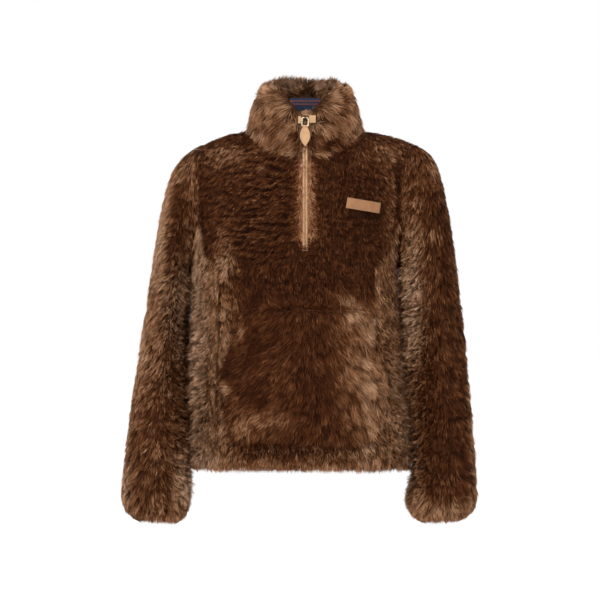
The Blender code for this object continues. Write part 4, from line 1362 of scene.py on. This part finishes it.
def wool_tree():
    """Strands that grow from a bed, lie as it is combed and gather into tufts."""
    tree, nodes, given = geometry_tree(
        "wool", density="Float", seed="Int", width="Float", wisp_size="Float", tuft_size="Float",
        lock_size="Float", tuft_pull="Float", ripple_pitch="Float", wave="Float", segments="Int",
        material="Material",
    )
    seed, pitch = given["Seed"], given["Ripple Pitch"]
    density = given["Density"] * nodes.read("cover")
    spread = {"Mesh": given["Geometry"], "Density": density, "Seed": seed}
    points = nodes.get("GeometryNodeDistributePointsOnFaces", spread)
    here = nodes.get("GeometryNodeInputPosition")
    out = nodes.vector("NORMALIZE", nodes.read_vector("outward"))
    comb = nodes.vector("NORMALIZE", nodes.read_vector("comb"))
    aside = nodes.vector("CROSS_PRODUCT", out, comb)
    long, stray, ripple, lock = (nodes.read(name) for name in ("long", "stray", "ripple", "lock"))

    # The way that a strand leans, and how far its tip reaches and rises
    turn = nodes.random(-1.0, 1.0, seed + 1.0) * stray
    turn = turn + (nodes.noise(here, 28.0) - 0.5) * (stray * 3.6)
    lie = nodes.turned(comb, aside, turn)
    length = long * nodes.random(0.72, 1.16, seed + 2.0)
    rise = nodes.read("rise") * nodes.random(0.66, 1.0, seed + 3.0)
    spare, least = length * length - rise * rise, length * (length * 0.08)
    reach = nodes.math("SQRT", nodes.math("MAXIMUM", spare, least))
    there = here + lie * reach
    bent = here + nodes.scatter(here, 40.0) * 0.012

    def tufts(stretch, size):
        """For each point's tuft: the way to its middle, how near its edge is, and its chance."""
        cells = {"Vector": bent * stretch, "Scale": 1.0 / size}
        cell = nodes.add("ShaderNodeTexVoronoi", cells)
        edge = nodes.get("ShaderNodeTexVoronoi", cells, feature="DISTANCE_TO_EDGE")
        middle = Value(nodes, cell.outputs["Position"]) / stretch
        chance = nodes.xyz(Value(nodes, cell.outputs["Color"]))[0] - 0.5
        return middle - bent, nodes.fit(edge, 0.0, 0.22, 1.0, 0.0), chance

    wisp_way, wisp_edge, wisp_chance = tufts((1.0, 1.0, 0.6), given["Wisp Size"])
    round_way, round_edge, round_chance = tufts((1.0, 1.0, 0.75), given["Tuft Size"])
    lock_way, lock_edge, lock_chance = tufts((1.0, 1.0, 0.7), given["Lock Size"])

    # Level ripples, broken here and there
    warp = nodes.noise(there * (0.75, 1.0, 1.3), 31.0)
    phase = (nodes.xyz(there)[2] / pitch + warp * 3.0) * (2 * math.pi)
    broken = nodes.noise(there * (0.8, 1.0, 2.0), 36.0, detail=1.0)
    broken = nodes.fit(broken, 0.36, 0.56) * ripple
    trough = nodes.fit(nodes.math("COSINE", phase), 0.15, 0.95) * broken
    level = nodes.math("SINE", phase) * broken * pitch * 0.34

    # How the tips are drawn together, along the surface
    gather = round_way * (given["Tuft Pull"] * (1.0 - ripple * 0.6)) + nodes.join(z=level)
    gather = gather + aside * nodes.vector("DOT_PRODUCT", wisp_way, aside) * 0.9
    gather = gather + lock_way * (lock * 0.42)
    gather = gather - out * nodes.vector("DOT_PRODUCT", gather, out)
    gather = gather * (1.0 - nodes.read("calm") * 0.65)
    droop = nodes.math("MAXIMUM", nodes.xyz(out)[2], 0.0) * long * -0.22
    gather = gather + nodes.join(z=droop)
    gather = gather + nodes.scatter(here, 150.0, 1.0) * given["Wave"]

    # The valleys between tufts, the painted shade of strands sunk in the pile, and the strand's
    # width
    valley = round_edge * (1.0 - nodes.math("MAXIMUM", ripple, lock * 0.6))
    parted = lock_edge * lock
    rise = less(
        rise, (valley, 0.18), (parted, 0.5), (trough, 0.8), (wisp_edge, 0.34), (wisp_chance, 0.30)
    )
    # the painted shade that a strand sunk in a trough, a parting, a valley and at a wisp's edge
    # takes through its map
    height = less(1.0, (trough, 0.85), (parted, 0.35), (valley, 0.1), (wisp_edge, 0.38))
    side = nodes.vector("NORMALIZE", nodes.vector("CROSS_PRODUCT", lie, out))
    side = nodes.turned(side, out, nodes.random(-1.1, 1.1, seed + 4.0))
    wide = given["Width"] * nodes.random(0.55, 1.3, seed + 5.0)

    # Lightness, with painted shade on the strands in valleys, partings and ripple troughs
    tone = nodes.read("tone")
    varied = tone * 0.6 + 0.62
    tone = tone + nodes.random(-0.15, 0.10, seed + 6.0)
    for factor, share in (
        (nodes.math("POWER", nodes.random(0.0, 1.0, seed + 7.0), 5.0), 0.34),
        (wisp_chance, -0.34),
        (round_chance, -0.08),
        (lock_chance, -0.06),
        (nodes.noise(here, 34.0) - 0.5, 0.26),
        # painted shade in the valleys between tufts, the partings between locks and the ripples'
        # troughs
        (valley, -0.05),
        (parted, -0.24),
        (trough, -0.40),
    ):
        tone = tone + factor * (varied * share)
    tone = nodes.math("MINIMUM", nodes.math("MAXIMUM", tone, 0.01), 0.99)

    for name, value in (
        ("reach_to", lie * reach),
        ("lift_to", out * rise),
        ("side_to", side * wide),
        ("gather_to", gather),
        ("shade", tone),
        ("glow_to", nodes.read("glow")),
        ("height_to", height),
    ):
        points = nodes.store(points, name, value, "FLOAT_VECTOR" if is_vector(value) else "FLOAT")
    blade = strand_blade(nodes, given["Segments"])
    inputs = {"Points": points, "Instance": blade, "Scale": (0.0, 0.0, 0.0)}
    laid = nodes.get("GeometryNodeInstanceOnPoints", inputs)
    laid = nodes.get("GeometryNodeRealizeInstances", {"Geometry": laid})

    # Each blade, laid as a speck, is drawn out to its strand
    along, across = nodes.read("along"), nodes.read("across")
    early, late, last = (nodes.math("POWER", along, power) for power in (0.8, 1.25, 1.6))
    slim = nodes.math("SINE", early * math.pi)
    move = nodes.read_vector("lift_to") * (along * (2.0 - along))
    move = move + nodes.read_vector("reach_to") * late
    move = move + nodes.read_vector("side_to") * (across * slim)
    move = move + nodes.read_vector("gather_to") * last
    laid = nodes.get("GeometryNodeSetPosition", {"Geometry": laid, "Offset": move})
    column = nodes.read("shade") + across * 0.004
    # the map's upward coordinate carries the painted shade of sunk strands, and the zip's painted
    # glow lifts it to the top
    row = {"Factor": nodes.read("glow_to"), "A": along * nodes.read("height_to") * TIP_V, "B": 1.0}
    chart = nodes.join(x=column, y=nodes.get("ShaderNodeMix", row))
    laid = nodes.store(laid, "OFBake", chart, "FLOAT2", "CORNER")
    laid = nodes.get("GeometryNodeSetShadeSmooth", {"Geometry": laid})
    return end_tree(tree, nodes, laid, given["Material"])


def grown(base, tree, values, keep=()):
    """The plain mesh that a tree makes of a base object, which is then removed."""
    modifier = base.modifiers.new("grow", "NODES")
    modifier.node_group = tree
    for item in tree.interface.items_tree:
        if item.in_out == "INPUT" and item.name in values:
            modifier[item.identifier] = values[item.name]
    depsgraph = bpy.context.evaluated_depsgraph_get()
    mesh = bpy.data.meshes.new_from_object(
        base.evaluated_get(depsgraph), preserve_all_data_layers=True, depsgraph=depsgraph
    )
    base.modifiers.remove(modifier)
    bpy.data.objects.remove(base)
    for name in [a.name for a in mesh.attributes if not (a.is_internal or a.is_required)]:
        if name not in keep:
            mesh.attributes.remove(mesh.attributes[name])
    mesh.materials.clear()
    mesh.materials.append(values["Material"])
    return mesh


def grow_wool(name, surface, seed, inside=False):
    """One piece of wool on a panel, its density capped so that it comes to about
    MAX_PIECE_TRIANGLES triangles.
    """
    wool = bpy.context.scene.anorak_wool
    base, area = bed_object(surface, inside)
    strand_triangles = 2 * (wool.rows - 1)
    fine = FINER.get(surface.name, 1.0)
    density = min(wool.density * fine, MAX_PIECE_TRIANGLES / strand_triangles / area)
    width = wool.width / math.sqrt(fine)
    values = {
        "Density": density,
        "Seed": seed,
        "Width": width,
        "Wisp Size": wool.wisp,
        "Tuft Size": wool.tuft,
        "Lock Size": wool.lock,
        "Tuft Pull": wool.pull,
        "Ripple Pitch": wool.ripple,
        "Wave": wool.wave,
        "Segments": wool.rows,
        "Material": material("wool_strands"),
    }
    mesh = grown(base, bpy.data.node_groups.get("wool") or wool_tree(), values, ("OFBake",))
    mesh.name = name
    return place(name, mesh, surface.slot)


def dress(surface, seed):
    """Grows a panel's wool, inside it too on the collar, and reads its skin's flat cut from CUTS.
    """
    wools = [grow_wool(f"wool_{surface.name}", surface, seed)]
    if surface.name == "collar":
        inside = grow_wool("wool_collar_inside", surface, seed + INSIDE_SEED, inside=True)
        wools.append(inside)
    width, length, area = CUTS[surface.name]


class ANORAK_OT_skins(bpy.types.Operator):
    """Makes the skin of each panel of the coat."""

    bl_idname = "anorak.skins"
    bl_label = "Skins"

    def execute(self, context):
        for name, surface in surfaces(PANELS, 1).items():
            place(f"skin_{name}", skin_mesh(surface), surface.slot, stands_for=(name,))
        return {"FINISHED"}


class ANORAK_OT_wool(bpy.types.Operator):
    """Grows the wool on each panel of the coat."""

    bl_idname = "anorak.wool"
    bl_label = "Wool"

    def execute(self, context):
        for number, surface in enumerate(surfaces(PANELS, 2).values()):
            dress(surface, number * SEED_STEP + SEED)
        return {"FINISHED"}


class ANORAK_OT_pocket(bpy.types.Operator):
    """Makes the kangaroo pocket, its skin and its wool."""

    bl_idname = "anorak.pocket"
    bl_label = "Pocket"

    def execute(self, context):
        skin = surfaces(("pocket",), 1)["pocket"]
        place("skin_pocket", skin_mesh(skin), skin.slot, stands_for=("pocket",))
        wool = surfaces(("pocket",), 2)["pocket"]
        dress(wool, POCKET_SEED)
        return {"FINISHED"}


def refined(node, finish, bevel):
    """A merged copy of a CAD node with finer and softer edges, for a small piece."""
    shape = merged_copy(node)
    flat = math.radians(1)
    bmesh.ops.dissolve_limit(shape, angle_limit=flat, verts=shape.verts, edges=shape.edges)
    paired = [edge for edge in shape.edges if len(edge.link_faces) == 2]
    sharp = [edge for edge in paired if edge.calc_face_angle() > BEVEL_OVER]
    bmesh.ops.bevel(
        shape, geom=sharp, offset=bevel * MM, segments=2, profile=0.6, affect="EDGES",
        clamp_overlap=True,
    )
    bmesh.ops.triangulate(shape, faces=[f for f in shape.faces if len(f.verts) > 4])
    mesh = mesh_of(shape, node)
    mesh.materials.append(material(finish))
    mesh.shade_smooth()
    mesh.set_sharp_from_angle(angle=TRIM_SHARP)
    return mesh


def trim(name, node, finish, bevel, slot="natural_leather", body=COAT):
    """A small piece that stands for a CAD node, with softer edges and its finish."""
    place(name, refined(node, finish, bevel), slot, body, stands_for=(node,))


def refinish(node, finish):
    """Gives a carried-over CAD node its finish."""
    materials = frame["nodes"][node].data.materials
    materials.clear()
    materials.append(material(finish))


def path_on(node, places, lift):
    """A path over a node's surface through places in a front view, a little above it."""
    shape = merged_copy(node)
    tree = BVHTree.FromBMesh(shape)
    shape.free()
    path = []
    for x, z in places:
        point, normal, *_ = tree.ray_cast(Vector((x * MM, -1, z * MM)), Vector((0, 1, 0)))
        if point is None:
            raise ValueError(f"no surface of {node} at {x:.1f}, {z:.1f}")
        path.append((point + normal * lift * MM, normal))
    return path


def row_tree():
    """Repeats a small piece along a path, in step or staggered to both sides."""
    tree, nodes, given = geometry_tree(
        "row", pitch="Float", stagger="Float", piece="Object", material="Material"
    )
    curve = nodes.get("GeometryNodeMeshToCurve", {"Mesh": given["Geometry"]})
    resampled = nodes.add("GeometryNodeResampleCurve", {"Curve": curve}, mode="LENGTH")
    nodes.fill(pick(resampled.inputs, "Length"), given["Pitch"])
    curve = Value(nodes, resampled.outputs["Curve"])
    out, tangent = nodes.read_vector("outward"), nodes.get("GeometryNodeInputTangent")
    parity = nodes.math("MODULO", nodes.get("GeometryNodeInputIndex"), 2.0) * 2.0 - 1.0
    step = nodes.vector("CROSS_PRODUCT", tangent, out) * (parity * given["Stagger"])
    curve = nodes.get("GeometryNodeSetPosition", {"Geometry": curve, "Offset": step})
    turned = nodes.get(
        "FunctionNodeAxesToRotation",
        {"Primary Axis": out, "Secondary Axis": tangent},
        primary_axis="Z",
        secondary_axis="Y",
    )
    piece = nodes.get("GeometryNodeObjectInfo", {"Object": given["Piece"]}, output="Geometry")
    inputs = {"Points": curve, "Instance": piece, "Rotation": turned}
    laid = nodes.get("GeometryNodeInstanceOnPoints", inputs)
    laid = nodes.get("GeometryNodeRealizeInstances", {"Geometry": laid})
    return end_tree(tree, nodes, laid, given["Material"])


def small_piece(size, bevel):
    """A rounded bar to repeat, in millimetres: across, along and out."""
    shape = bmesh.new()
    bmesh.ops.create_cube(shape, size=1, matrix=Matrix.Diagonal((*(s * MM for s in size), 1)))
    bmesh.ops.bevel(
        shape, geom=shape.edges, offset=bevel * MM, segments=1, affect="EDGES", clamp_overlap=True
    )
    mesh = mesh_of(shape, "small_piece")
    mesh.shade_smooth()
    return add_object("small_piece", mesh)


def row_along(name, paths, bar, pitch, finish, slot="natural_leather", body=COAT, stagger=0.0):
    """Places a row of small pieces along each path of points and outward normals."""
    points, normals, edges = [], [], []
    for path in paths:
        start = len(points)
        points += [p for p, _ in path]
        normals += [n for _, n in path]
        edges += [(n, n + 1) for n in range(start, len(points) - 1)]
    mesh = bpy.data.meshes.new("path")
    mesh.from_pydata(points, edges, [])
    store_array(mesh, "outward", np.array(normals))
    base, piece = add_object("path", mesh), small_piece(*bar)
    tree = bpy.data.node_groups.get("row") or row_tree()
    values = {"Pitch": pitch, "Stagger": stagger, "Piece": piece, "Material": material(finish)}
    made = grown(base, tree, values)
    made.name = name
    bpy.data.objects.remove(piece)
    return place(name, made, slot, body)


def spaced(start, end, count):
    return [start + (end - start) * n / (count - 1) for n in range(count)]


class ANORAK_OT_zip(bpy.types.Operator):
    """Makes the half zip: facings, teeth, stitches, leather ends and slider."""

    bl_idname = "anorak.zip"
    bl_label = "Half zip"

    def execute(self, context):
        settings = context.scene.anorak_trim
        low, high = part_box("zip_chain")
        levels = spaced(low.z / MM + CHAIN_ENDS, high.z / MM - CHAIN_ENDS, CHAIN_STEPS)
        middle = path_on("zip_chain", [(0, z) for z in levels], 0.3)
        row_along(
            "zip_teeth", [middle], TEETH, settings.pitch / 2, "aged_metal", "zip_metal",
            stagger=TEETH_STAGGER * MM,
        )
        refinish("zip_chain", "zip_tape")
        for side, x in (("left", -FACING_SEAM), ("right", FACING_SEAM)):
            facing, end = f"zip_facing_{side}", f"zip_end_{side}"
            trim(f"leather_{facing}", facing, "zip_leather", 0.45)
            seam = path_on(facing, [(x, z) for z in levels], 0.1)
            row_along(f"zip_stitches_{side}", [seam], STITCH, settings.stitch, "thread")
            trim(f"leather_{end}", end, "tan_leather", 0.35)
        trim("metal_slider", "zip_slider", "aged_metal", 0.3, "zip_metal")
        return {"FINISHED"}


class ANORAK_OT_pull(bpy.types.Operator):
    """Makes the zip's pull: the wire link and the leather tab that swing together."""

    bl_idname = "anorak.pull"
    bl_label = "Zip pull"

    def execute(self, context):
        refinish("pull_link", "link_metal")
        trim("leather_tab", "pull_tab", "tan_leather", 0.45, body=PULL)
        seam, pitch = path_on("pull_tab", TAB_STITCHES, 0.08), TAB_STITCH_PITCH * MM
        row_along("tab_stitches", [seam], TAB_STITCH, pitch, "gold_thread", body=PULL)
        return {"FINISHED"}


class ANORAK_OT_patch(bpy.types.Operator):
    """Makes the bare leather patch on the chest, and its stitches."""

    bl_idname = "anorak.patch"
    bl_label = "Chest patch"

    def execute(self, context):
        trim("leather_patch", "chest_patch", "patch_leather", 0.5)
        turn, middle = Matrix.Rotation(PATCH_TURN, 2), Vector(PATCH_AT)
        x, z = (half - PATCH_SEAM for half in PATCH_HALF)
        corners = ((-x, -z), (x, -z), (x, z), (-x, z))
        paths = []
        for start, end in zip(corners, corners[1:] + corners[:1]):
            side = zip(*(spaced(a, b, PATCH_SEAM_STEPS) for a, b in zip(start, end)))
            places = [tuple(middle + turn @ Vector(at)) for at in side]
            paths.append(path_on("chest_patch", places, 0.08))
        pitch = context.scene.anorak_trim.stitch * 0.8
        row_along("patch_stitches", paths, PATCH_STITCH, pitch, "thread")
        return {"FINISHED"}


class ANORAK_OT_label(bpy.types.Operator):
    """Makes the plain woven label inside the back of the collar."""

    bl_idname = "anorak.label"
    bl_label = "Neck label"

    def execute(self, context):
        trim("woven_label", "neck_label", "label_weave", 0.25, "label_cloth")
        return {"FINISHED"}


class ANORAK_OT_stage(bpy.types.Operator):
    """Sets up the pale floor, the soft lights and the camera."""

    bl_idname = "anorak.stage"
    bl_label = "Stage"

    def execute(self, context):
        scene, stage = context.scene, context.scene.anorak_stage
        for other in list(bpy.data.objects):
            if other.type in {"CAMERA", "LIGHT"} or other.name == "Cube":
                bpy.data.objects.remove(other)
        shape = bmesh.new()
        bmesh.ops.create_grid(shape, x_segments=8, y_segments=8, size=FLOOR_HALF)
        bmesh.ops.translate(shape, vec=(0, 0, stage.floor), verts=shape.verts)
        mesh = mesh_of(shape, "floor")
        mesh.materials.append(material("pale_floor"))
        floor = add_object("floor", mesh)
        floor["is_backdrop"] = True
        for name, where, width, height, power in LIGHTS:
            data = bpy.data.lights.new(name, "AREA")
            data.shape, data.size, data.size_y, data.energy = "RECTANGLE", width, height, power
            lamp = add_object(name, data)
            lamp.location = where
            lamp.rotation_euler = (Vector(AIM) - Vector(where)).to_track_quat("-Z", "Y").to_euler()
        world = bpy.data.worlds.new("studio")
        world.use_nodes = True
        sky = world.node_tree.nodes["Background"]
        sky.inputs["Color"].default_value = (1, 1, 1, 1)
        nodes = Nodes(world.node_tree)
        seen = nodes.get("ShaderNodeLightPath", output="Is Camera Ray")
        nodes.fill(sky.inputs["Strength"], nodes.fit(seen, 0.0, 1.0, SKY_LIGHT, SKY_SEEN))
        scene.world = world
        scene.view_settings.view_transform = "Standard"
        data = bpy.data.cameras.new("camera")
        data.lens = stage.lens
        data.clip_start, data.clip_end = 0.1, 200
        camera = add_object("camera", data)
        away = stage.width * stage.lens / data.sensor_width
        camera.location = Vector(VIEW_CENTRE) - Vector((0, away, 0))
        camera.rotation_euler = (math.pi / 2, 0, 0)
        scene.camera = camera
        return {"FINISHED"}


class ANORAK_PT_pieces(bpy.types.Panel):
    """Lists the pieces of the anorak, in the order in which they are made."""

    bl_idname = "ANORAK_PT_pieces"
    bl_label = "Anorak"
    bl_space_type = "VIEW_3D"
    bl_region_type = "UI"
    bl_category = "Anorak"

    def draw(self, context):
        for step in STEPS:
            self.layout.operator(step.bl_idname)
        for group in GROUPS:
            box = self.layout.box()
            settings = getattr(context.scene, group)
            for name in settings.__annotations__:
                box.prop(settings, name)


STEPS = (
    ANORAK_OT_stage,
    ANORAK_OT_skins,
    ANORAK_OT_wool,
    ANORAK_OT_pocket,
    ANORAK_OT_zip,
    ANORAK_OT_pull,
    ANORAK_OT_patch,
    ANORAK_OT_label,
)
GROUPS = {"anorak_wool": AnorakWool, "anorak_trim": AnorakTrim, "anorak_stage": AnorakStage}
CLASSES = (*GROUPS.values(), *STEPS, ANORAK_PT_pieces)


def register():
    for made in CLASSES:
        bpy.utils.register_class(made)
    for name, group in GROUPS.items():
        setattr(bpy.types.Scene, name, PointerProperty(type=group))


def unregister():
    for name in GROUPS:
        delattr(bpy.types.Scene, name)
    for made in reversed(CLASSES):
        bpy.utils.unregister_class(made)


def main():
    register()
    for step in STEPS:
        group, name = step.bl_idname.split(".")
        getattr(getattr(bpy.ops, group), name)()
    boxes = {"cad": CAD_BOX, "visual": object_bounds()}
    {name: [list(corner) for corner in box] for name, box in boxes.items()}


if __name__ == "__main__":
    main()
